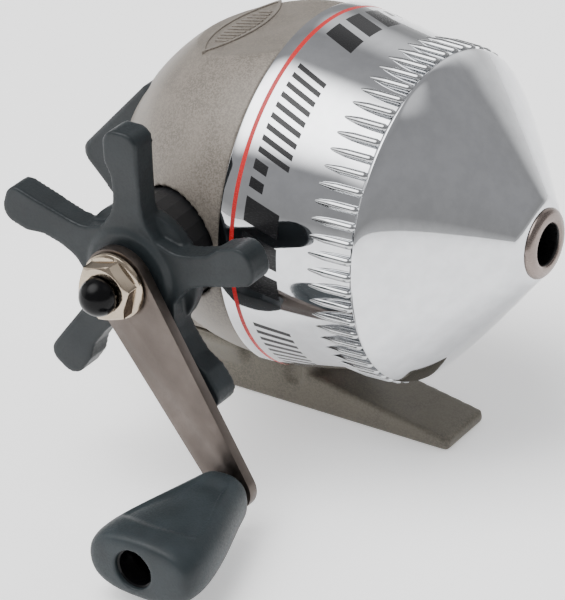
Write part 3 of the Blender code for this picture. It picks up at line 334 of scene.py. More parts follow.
# %% [markdown]
# ## Finishes
# Each finish starts from the real process. Cast bodies are sprayed with a paint full of tiny metal flakes, the
# crank arm is stamped from steel and tumbled in stones, the star and the knob are moulded in textured plastic.
# The grain is near its true size: flakes are a quarter of a millimetre, tumbling pits a little larger.

# %% Metallic paint


def flake_paint(name, colour, dark):
    finish = Finish(name, colour, 0.50, 0.30, 0.10)
    vector = finish.place()
    flakes = finish.node("ShaderNodeTexVoronoi", {}, {"Vector": vector, "Scale": 4.2}, output="Color")
    sparkle = finish.node("ShaderNodeSeparateColor", {}, [flakes])
    cloud = finish.noise(vector, 0.12, 2.0)
    tone = finish.fade(sparkle, 0.1, 0.95, 0.0, 1.0)
    shade = finish.blend(tone, dark, colour)
    warm = tuple(channel * 1.14 for channel in colour)
    finish.feed("Base Color", finish.blend(finish.fade(cloud, 0.35, 0.7, 0.0, 0.35), shade, warm))
    finish.feed("Roughness", finish.fade(sparkle, 0.0, 1.0, 0.42, 0.60))
    finish.bump(finish.noise(vector, 3.4, 2.0), 0.02, 0.5)
    return finish


case_paint = flake_paint("case_flake_paint", (0.225, 0.200, 0.172), (0.140, 0.124, 0.106))
body_paint = flake_paint("body_flake_paint", (0.150, 0.136, 0.110), (0.100, 0.091, 0.075))
print("paints:", case_paint.material.name, body_paint.material.name)

# %% Chrome with a printed ring
SKIRT_STRIPE_X = 6.1
SKIRT_STRIPE_WIDTH = 0.75
MARK_START_X = 8.0
MARK_END_X = 14.2
MARK_RADIUS = 31.0
MARK_PERIOD = 2 * math.pi * MARK_RADIUS / 4
MARK_PITCH = 6.0
MARK_GROUP = 3 * MARK_PITCH
TICK_PITCH = 3.0
HATCH_PITCH = 2.0
MARK_SLANT = 0.35
TURN_SHIFT = 10.1
BLOCK_HALF = 2.1
HATCH_HALF = 0.5
TICK_HALF = 0.85
TICK_REACH = 1.3
INK = (0.012, 0.012, 0.013)
RING_RED = (0.47, 0.020, 0.022)
BRIGHT_CHROME = (0.70, 0.71, 0.73)
DULL_CHROME = (0.64, 0.65, 0.67)


def printed_chrome():
    finish = Finish("printed_chrome", (0.80, 0.81, 0.83), 0.05, 1.0)
    vector = finish.place()
    x, y, z = finish.split(vector)
    stripe = abs(x - SKIRT_STRIPE_X) < SKIRT_STRIPE_WIDTH / 2
    turn = finish.node("ShaderNodeMath", {"operation": "ARCTAN2"}, [y, z - AXIS.z])
    slant = turn * MARK_RADIUS + (x - MARK_START_X) * MARK_SLANT
    turns = (slant / MARK_PERIOD + TURN_SHIFT).math("FRACT") * MARK_PERIOD
    middle = (MARK_START_X + MARK_END_X) / 2
    half = (MARK_END_X - MARK_START_X) / 2
    reach = abs(x - middle)
    cell = (turns / MARK_PITCH).math("FRACT")
    offset = abs(cell - 0.5) * MARK_PITCH
    solid = (offset < BLOCK_HALF) * (reach < half)
    hatch_cell = (turns / HATCH_PITCH).math("FRACT")
    hatch = (abs(hatch_cell - 0.5) * HATCH_PITCH < HATCH_HALF) * (reach < half)
    first = turns < MARK_GROUP
    ticks = (turns > MARK_GROUP) * (turns < MARK_GROUP + 2 * TICK_PITCH)
    second = (turns > MARK_GROUP + 2 * TICK_PITCH) * (turns < 2 * MARK_GROUP + 2 * TICK_PITCH)
    tick_offset = abs((turns / TICK_PITCH).math("FRACT") - 0.5) * TICK_PITCH
    tick = (tick_offset < TICK_HALF) * (abs(x - MARK_START_X - TICK_REACH) < TICK_REACH)
    ink = first * solid + second * hatch + ticks * tick
    smear = finish.noise(vector, 0.35, 3.0)
    metal = finish.blend(finish.fade(smear, 0.3, 0.7), BRIGHT_CHROME, DULL_CHROME)
    inked = finish.blend(ink, metal, INK)
    finish.feed("Base Color", finish.blend(stripe, inked, RING_RED))
    printed = finish.node("ShaderNodeMath", {"operation": "MAXIMUM"}, [ink, stripe])
    finish.feed("Metallic", 1.0 - printed)
    scuff = finish.noise(finish.stretch(vector, (0.6, 3.0, 3.0)), 2.0, 4.0)
    finish.feed("Roughness", printed * 0.22 + finish.fade(scuff, 0.45, 0.75, 0.035, 0.085))
    finish.bump(finish.noise(vector, 0.09, 2.0), 0.05, 0.25)
    return finish


printed_cover = printed_chrome()


def plain_chrome():
    finish = Finish("rib_chrome", (0.52, 0.53, 0.54), 0.10, 1.0)
    vector = finish.place()
    finish.feed("Roughness", finish.fade(finish.noise(vector, 1.6, 3.0), 0.3, 0.8, 0.08, 0.16))
    finish.bump(finish.noise(vector, 0.5, 2.0), 0.02, 0.3)
    return finish


rib_chrome = plain_chrome()
print("mark period round the skirt:", round(MARK_PERIOD, 1), "mm")

# %% Tumbled steel, turned metals


def worked_metal(name, colour, roughness, grain, spread=0.10, pits=0.3, metallic=1.0):
    """Metal with a grain that is stretched, a slow drift of colour, and small pits."""
    finish = Finish(name, colour, roughness, metallic)
    vector = finish.place()
    lines = finish.noise(finish.stretch(vector, grain), 1.0, 4.0, 0.65)
    drift = finish.noise(vector, 0.10, 3.0)
    bright = tuple(min(1.0, channel * 1.18) for channel in colour)
    dull = tuple(channel * 0.80 for channel in colour)
    tone = finish.blend(finish.fade(drift, 0.3, 0.7), dull, bright)
    finish.feed("Base Color", finish.blend(finish.fade(lines, 0.35, 0.7, 0.0, 0.4), tone, bright))
    finish.feed("Roughness", finish.fade(lines, 0.3, 0.7, roughness - spread / 2, roughness + spread))
    finish.bump(finish.noise(vector, 2.2, 4.0), 0.03, pits)
    return finish


def paint_bore_shade(finish, radius):
    """Painted shade: black, non-metallic colour inside the given radius stands in for the shade in the guide's
    bore.
    """
    y, z = finish.split(finish.place())[1:]
    up = z - AXIS.z
    reach = (y * y + up * up).math("SQRT")
    outside_shade = finish.fade(reach, radius, radius + 0.12)
    unshaded_colour = Wire(finish, finish.shader.inputs["Base Color"].links[0].from_socket)
    finish.feed("Base Color", finish.blend(outside_shade, (0.006, 0.006, 0.006), unshaded_colour))
    finish.feed("Metallic", outside_shade)


arm_steel = worked_metal("tumbled_steel", (0.125, 0.105, 0.094), 0.38, (2.6, 2.6, 1.4), 0.14, 0.45)
guide_steel = worked_metal("guide_steel", (0.23, 0.19, 0.172), 0.28, (0.4, 6.0, 6.0), 0.08, 0.12)
# painted shade inside the line guide's bore
paint_bore_shade(guide_steel, 3.72)
small_steel = worked_metal("small_steel", (0.50, 0.50, 0.51), 0.28, (3.0, 1.0, 3.0))
nut_nickel = worked_metal("nut_nickel", (0.45, 0.375, 0.29), 0.13, (1.5, 6.0, 1.5), 0.10, 0.15)
cast_alloy = worked_metal("cast_alloy", (0.55, 0.55, 0.56), 0.45, (1.2, 1.2, 1.2), 0.15, 0.6)
turned_brass = worked_metal("turned_brass", (0.60, 0.43, 0.18), 0.28, (6.0, 1.0, 1.0), 0.12, 0.2)

# %% Moulded plastics, fibre and line


def moulded_plastic(name, colour, roughness, grain_scale, grain_depth, coat=0.0):
    finish = Finish(name, colour, roughness, 0.0, coat)
    vector = finish.place()
    grain = finish.noise(vector, grain_scale, 3.0)
    drift = finish.noise(vector, 0.15, 3.0)
    light = tuple(channel * 1.22 for channel in colour)
    dark = tuple(channel * 0.86 for channel in colour)
    finish.feed("Base Color", finish.blend(finish.fade(drift, 0.3, 0.7), dark, light))
    finish.feed("Roughness", finish.fade(grain, 0.25, 0.8, roughness - 0.06, roughness + 0.12))
    finish.bump(grain, grain_depth, 0.6)
    return finish


star_plastic = moulded_plastic("star_plastic", (0.011, 0.0145, 0.0165), 0.42, 2.4, 0.03)
knob_plastic = moulded_plastic("knob_plastic", (0.016, 0.0215, 0.0245), 0.46, 2.8, 0.05)
button_plastic = moulded_plastic("button_plastic", (0.013, 0.016, 0.018), 0.46, 2.4, 0.03)
gloss_black = moulded_plastic("gloss_black", (0.003, 0.003, 0.0035), 0.16, 0.8, 0.01)
gloss_black.shader.inputs["Specular IOR Level"].default_value = 0.14
bearing_black = moulded_plastic("bearing_black", (0.010, 0.010, 0.011), 0.38, 2.0, 0.02)
drag_fibre = moulded_plastic("drag_fibre", (0.20, 0.15, 0.10), 0.80, 5.0, 0.06)


def wound_line():
    finish = Finish("wound_line", (0.52, 0.57, 0.55), 0.25, 0.0, 0.3)
    x = finish.split(finish.place())[0]
    # Painted shade and highlight: each wound turn is coloured light on its crown and dark in the groove beside the
    # next, following the same wave as the bump.
    wave = finish.node("ShaderNodeMath", {"operation": "SINE"}, [x * 21.0])
    turns = finish.blend(finish.fade(wave, -1.0, 1.0), (0.34, 0.39, 0.38), (0.60, 0.65, 0.63))
    finish.feed("Base Color", turns)
    finish.bump(wave, 0.05, 0.8)
    return finish


line_finish = wound_line()
print("finishes:", len(bpy.data.materials))

# %% [markdown]
# ## Tools for shaping
# A lathe piece is a profile turned about an axis, a stamped piece is an outline with depth, and a moulded
# piece is any of them with its edges melted a little. `settle` bakes modifiers and place into the mesh, so the
# finished object stands at the origin, as the CAD pieces do.

# %% Placing and baking


def put(name, mesh, turn=Matrix.Identity(4), at=(0, 0, 0)):
    item = bpy.data.objects.new(name, mesh)
    item.matrix_world = Matrix.Translation(Vector(at) * MM) @ turn
    bpy.context.scene.collection.objects.link(item)
    return item


def settle(item, sharp=38.0):
    """Bake modifiers and place into a plain mesh with smooth shading split at sharp edges."""
    bpy.context.view_layer.update()
    seen = item.evaluated_get(bpy.context.evaluated_depsgraph_get())
    mesh = bpy.data.meshes.new_from_object(seen)
    mesh.transform(item.matrix_world)
    item.modifiers.clear()
    item.data = mesh
    item.matrix_world = Matrix.Identity(4)
    mesh.polygons.foreach_set("use_smooth", [True] * len(mesh.polygons))
    if sharp:
        mesh.set_sharp_from_angle(angle=math.radians(sharp))
    return item


# %% Lathe, drill, stamp and block


def lathe(name, outline, turn=ALONG_X, at=AXIS, steps=128):
    """Turn (place, radius) points, listed down the outer side, about the local Z axis."""
    mesh = bpy.data.meshes.new(name)
    edges = [(i, i + 1) for i in range(len(outline) - 1)]
    if outline[0][1] > 0 and outline[-1][1] > 0:
        edges.append((len(outline) - 1, 0))
    mesh.from_pydata([(radius * MM, 0, along * MM) for along, radius in outline], edges, [])
    item = put(name, mesh, turn, at)
    screw = item.modifiers.new("turn", "SCREW")
    screw.axis = "Z"
    screw.angle = 2 * math.pi
    screw.steps = steps
    screw.render_steps = steps
    screw.use_merge_vertices = True
    screw.merge_threshold = 0.00001
    return item


def drill(name, radius, low, high, at, steps=48):
    """A round cutter beside the reel's crank side, from low to high out from the spool's axis."""
    return lathe(name, [(high, 0), (high, radius), (low, radius), (low, 0)], OUTWARD, at, steps)


def stamp(name, outline, low, high, turn=OUTWARD, at=(0, 0, 0)):
    """Give a flat closed outline depth, from low to high along local Z."""
    curve = bpy.data.curves.new(name, "CURVE")
    curve.dimensions = "2D"
    curve.fill_mode = "BOTH"
    curve.extrude = (high - low) / 2 * MM
    spline = curve.splines.new("POLY")
    spline.points.add(len(outline) - 1)
    for point, (across, up) in zip(spline.points, outline):
        point.co = (across * MM, up * MM, 0, 1)
    spline.use_cyclic_u = True
    holder = bpy.data.objects.new(name + "_outline", curve)
    bpy.context.scene.collection.objects.link(holder)
    bpy.context.view_layer.update()
    mesh = bpy.data.meshes.new_from_object(holder.evaluated_get(bpy.context.evaluated_depsgraph_get()))
    bpy.data.objects.remove(holder, do_unlink=True)
    work = bmesh.new()
    work.from_mesh(mesh)
    bmesh.ops.remove_doubles(work, verts=work.verts, dist=0.000001)
    work.to_mesh(mesh)
    work.free()
    mesh.transform(Matrix.Translation((0, 0, (low + high) / 2 * MM)))
    return put(name, mesh, turn, at)


def block(name, low, high, turn=Matrix.Identity(4), at=(0, 0, 0)):
    work = bmesh.new()
    low = Vector(low) * MM
    high = Vector(high) * MM
    size = Matrix.Diagonal((*(high - low), 1))
    bmesh.ops.create_cube(work, size=1.0, matrix=Matrix.Translation((low + high) / 2) @ size)
    mesh = bpy.data.meshes.new(name)
    work.to_mesh(mesh)
    work.free()
    return put(name, mesh, turn, at)


# %% Cutting, melting and outlines


def combine(item, operation, *tools):
    """Join, cut or meet an item with tools, and throw the tools away."""
    for tool in tools:
        step = item.modifiers.new(operation, "BOOLEAN")
        step.operation = operation
        step.solver = "MANIFOLD"
        step.object = tool
        bpy.context.view_layer.update()
        seen = item.evaluated_get(bpy.context.evaluated_depsgraph_get())
        mesh = bpy.data.meshes.new_from_object(seen)
        item.modifiers.clear()
        item.data = mesh
        bpy.data.objects.remove(tool, do_unlink=True)
    return item


def melt(item, voxel, passes, factor=0.5):
    """Round every edge the way a mould or thick paint does: rebuild in small voxels, then smooth."""
    grid = item.modifiers.new("voxels", "REMESH")
    grid.mode = "VOXEL"
    grid.voxel_size = voxel * MM
    soft = item.modifiers.new("melt", "SMOOTH")
    soft.factor = factor
    soft.iterations = passes
    return item


def chamfer(item, width, segments=3, angle=35.0):
    bevel = item.modifiers.new("edge", "BEVEL")
    bevel.width = width * MM
    bevel.segments = segments
    bevel.limit_method = "ANGLE"
    bevel.angle_limit = math.radians(angle)
    return item


def arc(centre, radius, start, end, count):
    found = []
    for index in range(count + 1):
        angle = start + (end - start) * index / count
        found.append((centre[0] + radius * math.cos(angle), centre[1] + radius * math.sin(angle)))
    return found


def spun(points, angle):
    c = math.cos(angle)
    s = math.sin(angle)
    return [(x * c - y * s, x * s + y * c) for x, y in points]


# %% Copies of CAD pieces, and mounting


def cad_copy(node, name):
    """A welded copy of a CAD node, to be refined."""
    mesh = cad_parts[node].data.copy()
    work = bmesh.new()
    work.from_mesh(mesh)
    bmesh.ops.remove_doubles(work, verts=work.verts, dist=0.000002)
    work.to_mesh(mesh)
    work.free()
    mesh.materials.clear()
    return put(name, mesh)


def mount(item, body, slot, finish, *nodes):
    """Give a finished piece its finish, its body and the CAD nodes that it stands for."""
    item.data.materials.clear()
    item.data.materials.append(finish.material)
    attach(item, body)
    if nodes:
        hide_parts(*nodes)
    print(item.name, len(item.data.polygons), "faces")
    return item


# %% [markdown]
# ## Front cover
# The cover is drawn from sheet metal: a skirt that narrows, a full shoulder and a straight cone to the line
# guide. One profile on a lathe gives it, and it must be fine, because a mirror shows every facet.

# %% Front cover shell
COVER_REAR_X = 3.6
COVER_RADIUS = 32.4
COVER_WALL = 1.1
CONE_X = 28.2
CONE_RADIUS = 29.2
NOSE_X = 47.7
NOSE_RADIUS = 6.6
GUIDE_TUBE = 4.6
GUIDE_BORE = 3.6
RIB_START_X = 18.6
RIB_RADIUS = 29.8


def skirt_radius(x):
    slope = (COVER_RADIUS - RIB_RADIUS) / (RIB_START_X - COVER_REAR_X)
    return COVER_RADIUS - slope * (x - COVER_REAR_X)


def cone_point(share, inset=0.0):
    shoulder = (CONE_X + 2.3, CONE_RADIUS - 0.6)
    rest = 1 - share
    x = rest * rest * CONE_X + 2 * rest * share * shoulder[0] + share * share * NOSE_X
    radius = rest * rest * CONE_RADIUS + 2 * rest * share * shoulder[1] + share * share * NOSE_RADIUS
    run_x = 2 * rest * (shoulder[0] - CONE_X) + 2 * share * (NOSE_X - shoulder[0])
    run_r = 2 * rest * (shoulder[1] - CONE_RADIUS) + 2 * share * (NOSE_RADIUS - shoulder[1])
    length = math.hypot(run_x, run_r)
    return x + inset * run_r / length, radius - inset * run_x / length


def cover_profile():
    steps = 30
    outside = [cone_point(1 - index / steps) for index in range(steps + 1)]
    step_x = CONE_X - 1.1
    step_radius = skirt_radius(step_x)
    shoulder = [(CONE_X - 0.3, CONE_RADIUS - 0.08), (CONE_X - 0.6, CONE_RADIUS - 0.35),
                (CONE_X - 0.85, CONE_RADIUS - 0.7)]
    skirt = []
    for index in range(1, 12):
        x = step_x + (COVER_REAR_X + 0.3 - step_x) * index / 11
        skirt.append((x, skirt_radius(x)))
    rim = [(COVER_REAR_X + 0.08, COVER_RADIUS - 0.1), (COVER_REAR_X, COVER_RADIUS - 0.3)]
    inner = [(COVER_REAR_X, COVER_RADIUS - COVER_WALL), (step_x, step_radius - COVER_WALL)]
    inner += [cone_point(index / 10, COVER_WALL) for index in range(10)]
    nose = [(NOSE_X - 2.6, NOSE_RADIUS + 1.0), (NOSE_X - 2.6, GUIDE_TUBE + 0.15), (NOSE_X, GUIDE_TUBE + 0.15)]
    return outside + shoulder + skirt + rim + inner + nose


cover_shell = settle(lathe("cover_shell", cover_profile(), steps=192), 42.0)
mount(cover_shell, "front_cover", "chrome", printed_cover, "front_cover")

# %% [markdown]
# ## Ribs round the cover
# Sixty-two small ribs give wet fingers a grip. They are one shape repeated by rule, which is what Geometry
# Nodes is for. A short line is swept by a circle whose scale swells and closes, so a rib starts as a point and
# ends in a round nose. The rib is then put on a ring of points, each turned a little further than the last.

# %% Rib ring with Geometry Nodes
RIB_COUNT = 62
RIB_REAR_RADIUS = 29.30
RIB_FRONT_RADIUS = 28.95
RIB_THICKNESS = 0.75
TAIL_RATE = 2.4
TAIL_POWER = 0.6
NOSE_RATE = 12.0
NOSE_POWER = 0.5
RIB_TIP = 0.04


def rib_tree(finish):
    tree = bpy.data.node_groups.new("rib_ring", "GeometryNodeTree")
    lengths = {"Start": RIB_START_X + 0.2, "End": CONE_X, "Rear Radius": RIB_REAR_RADIUS,
               "Front Radius": RIB_FRONT_RADIUS, "Thickness": RIB_THICKNESS, "Height": AXIS.z}
    count = tree.interface.new_socket("Count", in_out="INPUT", socket_type="NodeSocketInt")
    count.default_value = RIB_COUNT
    for name, length in lengths.items():
        socket = tree.interface.new_socket(name, in_out="INPUT", socket_type="NodeSocketFloat")
        socket.default_value = length * MM
    tree.interface.new_socket("Geometry", in_out="OUTPUT", socket_type="NodeSocketGeometry")
    made = tree.nodes
    link = tree.links.new
    start = made.new("NodeGroupInput")
    end = made.new("NodeGroupOutput")

    def maths(operation, first, second=None):
        node = made.new("ShaderNodeMath")
        node.operation = operation
        for index, value in enumerate((first, second)):
            if value is None:
                continue
            if isinstance(value, (int, float)):
                node.inputs[index].default_value = value
            else:
                link(value, node.inputs[index])
        return node.outputs[0]

    def vector(x, y, z):
        node = made.new("ShaderNodeCombineXYZ")
        for index, value in enumerate((x, y, z)):
            if isinstance(value, (int, float)):
                node.inputs[index].default_value = value
            else:
                link(value, node.inputs[index])
        return node.outputs[0]

    line = made.new("GeometryNodeCurvePrimitiveLine")
    link(vector(start.outputs["Start"], 0.0, start.outputs["Rear Radius"]), line.inputs["Start"])
    link(vector(start.outputs["End"], 0.0, start.outputs["Front Radius"]), line.inputs["End"])
    many = made.new("GeometryNodeResampleCurve")
    link(line.outputs[0], many.inputs["Curve"])
    many.inputs["Count"].default_value = 20
    share = made.new("GeometryNodeSplineParameter").outputs["Factor"]
    tail = maths("POWER", maths("MINIMUM", maths("MULTIPLY", share, TAIL_RATE), 1.0), TAIL_POWER)
    ahead = maths("MULTIPLY", maths("SUBTRACT", 1.0, share), NOSE_RATE)
    nose = maths("POWER", maths("MINIMUM", ahead, 1.0), NOSE_POWER)
    swell = maths("ADD", maths("MULTIPLY", maths("MULTIPLY", tail, nose), 1 - RIB_TIP), RIB_TIP)
    ring = made.new("GeometryNodeCurvePrimitiveCircle")
    ring.inputs["Resolution"].default_value = 14
    link(start.outputs["Thickness"], ring.inputs["Radius"])
    sweep = made.new("GeometryNodeCurveToMesh")
    link(many.outputs[0], sweep.inputs["Curve"])
    link(swell, sweep.inputs["Scale"])
    link(ring.outputs[0], sweep.inputs["Profile Curve"])
    sweep.inputs["Fill Caps"].default_value = True
    points = made.new("GeometryNodePoints")
    link(start.outputs["Count"], points.inputs["Count"])
    link(vector(0.0, 0.0, start.outputs["Height"]), points.inputs["Position"])
    step = maths("DIVIDE", 2 * math.pi, start.outputs["Count"])
    angle = maths("MULTIPLY", made.new("GeometryNodeInputIndex").outputs[0], step)
    spread = made.new("GeometryNodeInstanceOnPoints")
    link(points.outputs[0], spread.inputs["Points"])
    link(sweep.outputs[0], spread.inputs["Instance"])
    turn = made.new("FunctionNodeEulerToRotation")
    link(vector(angle, 0.0, 0.0), turn.inputs[0])
    link(turn.outputs[0], spread.inputs["Rotation"])
    real = made.new("GeometryNodeRealizeInstances")
    link(spread.outputs[0], real.inputs[0])
    coat = made.new("GeometryNodeSetMaterial")
    coat.inputs["Material"].default_value = finish.material
    link(real.outputs[0], coat.inputs["Geometry"])
    link(coat.outputs[0], end.inputs[0])
    return tree


def grow(name, tree, values):
    """Run a node tree on an empty object and keep the mesh that it makes."""
    item = put(name, bpy.data.meshes.new(name))
    modifier = item.modifiers.new("grow", "NODES")
    modifier.node_group = tree
    for socket in tree.interface.items_tree:
        if socket.in_out == "INPUT" and socket.name in values:
            modifier[socket.identifier] = values[socket.name]
    return settle(item, 60.0)


ribs = grow("cover_ribs", rib_tree(rib_chrome), {"Count": RIB_COUNT})
mount(ribs, "front_cover", "chrome", rib_chrome)

# %% [markdown]
# ## Line guide
# The line runs out through a hard steel ring that is pressed into the nose. Its mouth is rounded, so that the
# line doesn't chafe. It is a lathe profile again, a closed loop that starts at the mouth's round, with a small
# arc there.

# %% Line guide
MOUTH_ROUND = 0.8


def guide_profile():
    lip = NOSE_X + 0.05
    top = guide_high.x / MM
    mouth = arc((top - MOUTH_ROUND, GUIDE_BORE + MOUTH_ROUND), MOUTH_ROUND, -math.pi / 2, 0, 8)
    crown = [(top - 0.04, GUIDE_TUBE + 0.35), (top - 0.20, GUIDE_TUBE + 0.85), (top - 0.45, NOSE_RADIUS - 0.75)]
    edge = [(lip + 0.5, NOSE_RADIUS - 0.48), (lip + 0.2, NOSE_RADIUS - 0.36), (lip, NOSE_RADIUS - 0.40)]
    tube_end = NOSE_X - 4.0
    tube = [(lip, GUIDE_TUBE), (tube_end, GUIDE_TUBE), (tube_end, GUIDE_BORE + 0.3), (NOSE_X - 3.6, GUIDE_BORE)]
    return [mouth[-1]] + crown + edge + tube + mouth[:-1]


guide = settle(lathe("guide_ring", guide_profile(), steps=96), 50.0)
mount(guide, "front_cover", "brushed_steel", guide_steel, "line_guide")

# %% [markdown]
# ## Back cover
# The back cover is a cast dome with a flat pad on top, an opening for the thumb button and a chin that meets
# the stem. It is carved from one turned solid, then melted a little, so its edges take the paint's softness.

# %% Back cover
SEAM_X = 3.3
CASE_RADIUS = 31.6
CASE_LENGTH = 39.3
CASE_WALL = 1.8
CASE_REAR_X = -35.0
RING_REAR_X = -2.0
RING_RADIUS = 29.4
PAD_TILT = math.radians(12.0)
PAD_CENTRE = Vector((-12.0, 0, 69.5))
CHIN_HALF = 8.5
CHIN_REAR_X = -22.0
CHIN_FRONT_X = -9.8
STEM_TOP_Z = 11.6
STEM_HALF = 6.55
BUTTON_HALF_WIDTH = 10.3
BUTTON_HALF_HEIGHT = 16.3
COLLAR_HOLE = 9.9
PAD_TURN = Matrix.Rotation(-PAD_TILT, 4, "Y")


def case_radius(x, inset=0.0):
    share = (SEAM_X - x) / (CASE_LENGTH - inset)
    return (CASE_RADIUS - inset) * max(0.0, 1 - max(0.0, share) ** 2.4) ** 0.80


def dome(name, rear_x, inset, front_x, steps):
    outline = [(front_x, 0), (front_x, case_radius(SEAM_X, inset))]
    for index in range(1 if front_x == SEAM_X else 0, steps + 1):
        x = SEAM_X - (SEAM_X - rear_x) * math.sin(index / steps * math.pi / 2)
        outline.append((x, case_radius(x, inset)))
    return lathe(name, outline + [(rear_x, 0)], steps=144)


def lens(half_length, half_width, count=16):
    radius = (half_length ** 2 + half_width ** 2) / (2 * half_width)
    reach = math.asin(half_length / radius)
    front = arc((half_width - radius, 0), radius, -reach, reach, count)
    rear = arc((radius - half_width, 0), radius, math.pi - reach, math.pi + reach, count)
    return front[:-1] + rear[:-1]


def above_pad(name, low):
    """A big block whose underside lies along the pad, low millimetres above it."""
    return block(name, (-60, -40, low), (20, 40, 80), PAD_TURN, PAD_CENTRE)


def build_case():
    case = dome("case_shell", CASE_REAR_X, 0.0, SEAM_X, 40)
    chin = block("chin", (CHIN_REAR_X, -CHIN_HALF, STEM_TOP_Z + 0.3), (CHIN_FRONT_X, CHIN_HALF, AXIS.z - 12))
    combine(case, "UNION", chin)
    combine(case, "DIFFERENCE", above_pad("pad", 0))
    cavity = dome("cavity", CASE_REAR_X + 2.4, CASE_WALL, SEAM_X + 1, 40)
    combine(cavity, "DIFFERENCE", above_pad("ceiling", -CASE_WALL))
    rebate_rear = RING_REAR_X - 0.3
    rebate_radius = RING_RADIUS + 0.3
    rebate = lathe("rebate", [(SEAM_X + 1, 0), (SEAM_X + 1, rebate_radius), (rebate_rear, rebate_radius),
                              (rebate_rear, 0)], steps=144)
    combine(rebate, "DIFFERENCE", above_pad("rebate_ceiling", -CASE_WALL))
    opening = block("opening", (CASE_REAR_X - 2, -BUTTON_HALF_WIDTH, AXIS.z - BUTTON_HALF_HEIGHT),
                    (-22.5, BUTTON_HALF_WIDTH, AXIS.z + BUTTON_HALF_HEIGHT))
    hole = drill("hole", COLLAR_HOLE, 15, 45, CRANK, 64)
    stem = block("stem", (CHIN_FRONT_X - 1, -STEM_HALF, 5), (SEAM_X + 1, STEM_HALF, 17))
    seat = block("seat", (CHIN_REAR_X - 3, -CHIN_HALF - 1, 5),
                 (CHIN_FRONT_X + 0.3, CHIN_HALF + 1, STEM_TOP_Z + 0.3))
    combine(case, "DIFFERENCE", cavity, rebate, opening, hole, stem, seat)
    return case


case = melt(build_case(), 0.42, 5)
settle(case, 0)
mount(case, "reel_frame", "case_paint", case_paint, "back_cover")

# %% [markdown]
# ## Badge on the pad
# A shallow pointed oval is cast into the pad. Its rim stands a quarter of a millimetre proud, and its field
# holds plain parallel bars.

# %% Pad badge
BADGE_HALF_LENGTH = 12.3
BADGE_HALF_WIDTH = 4.1
BADGE_RISE = 0.26
FIELD_HALF_LENGTH = 11.2
FIELD_HALF_WIDTH = 3.55
BAR_PITCH = 1.35
BAR_RISE = 0.22


def build_badge():
    rim = stamp("pad_badge", lens(BADGE_HALF_LENGTH, BADGE_HALF_WIDTH, 24), -0.6, BADGE_RISE, PAD_TURN, PAD_CENTRE)
    field = stamp("field", lens(FIELD_HALF_LENGTH, FIELD_HALF_WIDTH, 24), 0.02, 1.0, PAD_TURN, PAD_CENTRE)
    combine(rim, "DIFFERENCE", field)
    for index in range(-5, 6):
        across = index * BAR_PITCH
        reach = 2.5 * math.sqrt(max(0.05, 1 - (abs(index) / 6.2) ** 1.6))
        bar = [(-reach + 0.4, across - 0.3), (reach + 0.4, across - 0.5), (reach + 0.4, across + 0.1),
               (-reach + 0.4, across + 0.3)]
        combine(rim, "UNION", stamp("bar_%d" % index, bar, -0.3, BAR_RISE, PAD_TURN, PAD_CENTRE))
    return chamfer(rim, 0.08, 2)


badge = settle(build_badge(), 30.0)
mount(badge, "reel_frame", "case_paint", case_paint)

# %% [markdown]
# ## Reel body and foot
# The body's foot slides under the hoods of a rod's seat. The visible part is the foot and its stem, which are
# cast with generous corners, so the CAD solid is melted at a fine voxel size.

# %% Reel body
body = melt(cad_copy("reel_body", "body_casting"), 0.45, 4)
settle(body, 0)
mount(body, "reel_frame", "case_paint", body_paint, "reel_body")

# %% [markdown]
# ## Star drag wheel
# The five paddles stand further out than the web round the hub, so that fingers find them behind the crank. The
# wheel starts as a flat moulding; after the voxel step the points of its web are moved along the shaft by a rule
# in their radius.

# %% Star drag wheel
STAR_RADIUS = 26.6
STAR_ARMS = 5
STAR_ANGLE = math.radians(16.8)
STAR_BACK = 37.2
STAR_FRONT = 42.8
STAR_DEPTH = 5.0
STAR_DISH = 0.5
WEB_EDGE = 23.0
WEB_FADE = 9.0
HUB_EDGE = 8.8
HUB_FADE = 1.2
STAR_BORE = 3.3
STAR_POCKET = 5.6
ARM_WIDTH = 5.6
THROUGH = 60


def star_outline():
    half = ARM_WIDTH / 2
    lobe = 1.3
    tip = STAR_RADIUS
    side = [(10.2, -half - 0.9), (11.6, -half - 0.35), (14.0, -half), (tip - 2.4, -half)]
    end = arc((tip - 2.4, -half + 2.4), 2.4, -math.pi / 2, 0, 6)[1:]
    top = arc((tip - 2.8, half + lobe - 2.8), 2.8, 0, math.pi / 2, 6)
    back = [(tip - 6.0, half + lobe - 0.1), (tip - 7.6, half + 0.5), (tip - 9.0, half + 0.05)]
    back += [(14.0, half), (11.6, half + 0.35), (10.2, half + 0.9)]
    outline = []
    for index in range(STAR_ARMS):
        turn = STAR_ANGLE + 2 * math.pi * index / STAR_ARMS
        outline += spun(side + end + top + back, turn)
        valley = turn + math.pi / STAR_ARMS
        outline += [(9.5 * math.cos(valley), 9.5 * math.sin(valley))]
    return outline


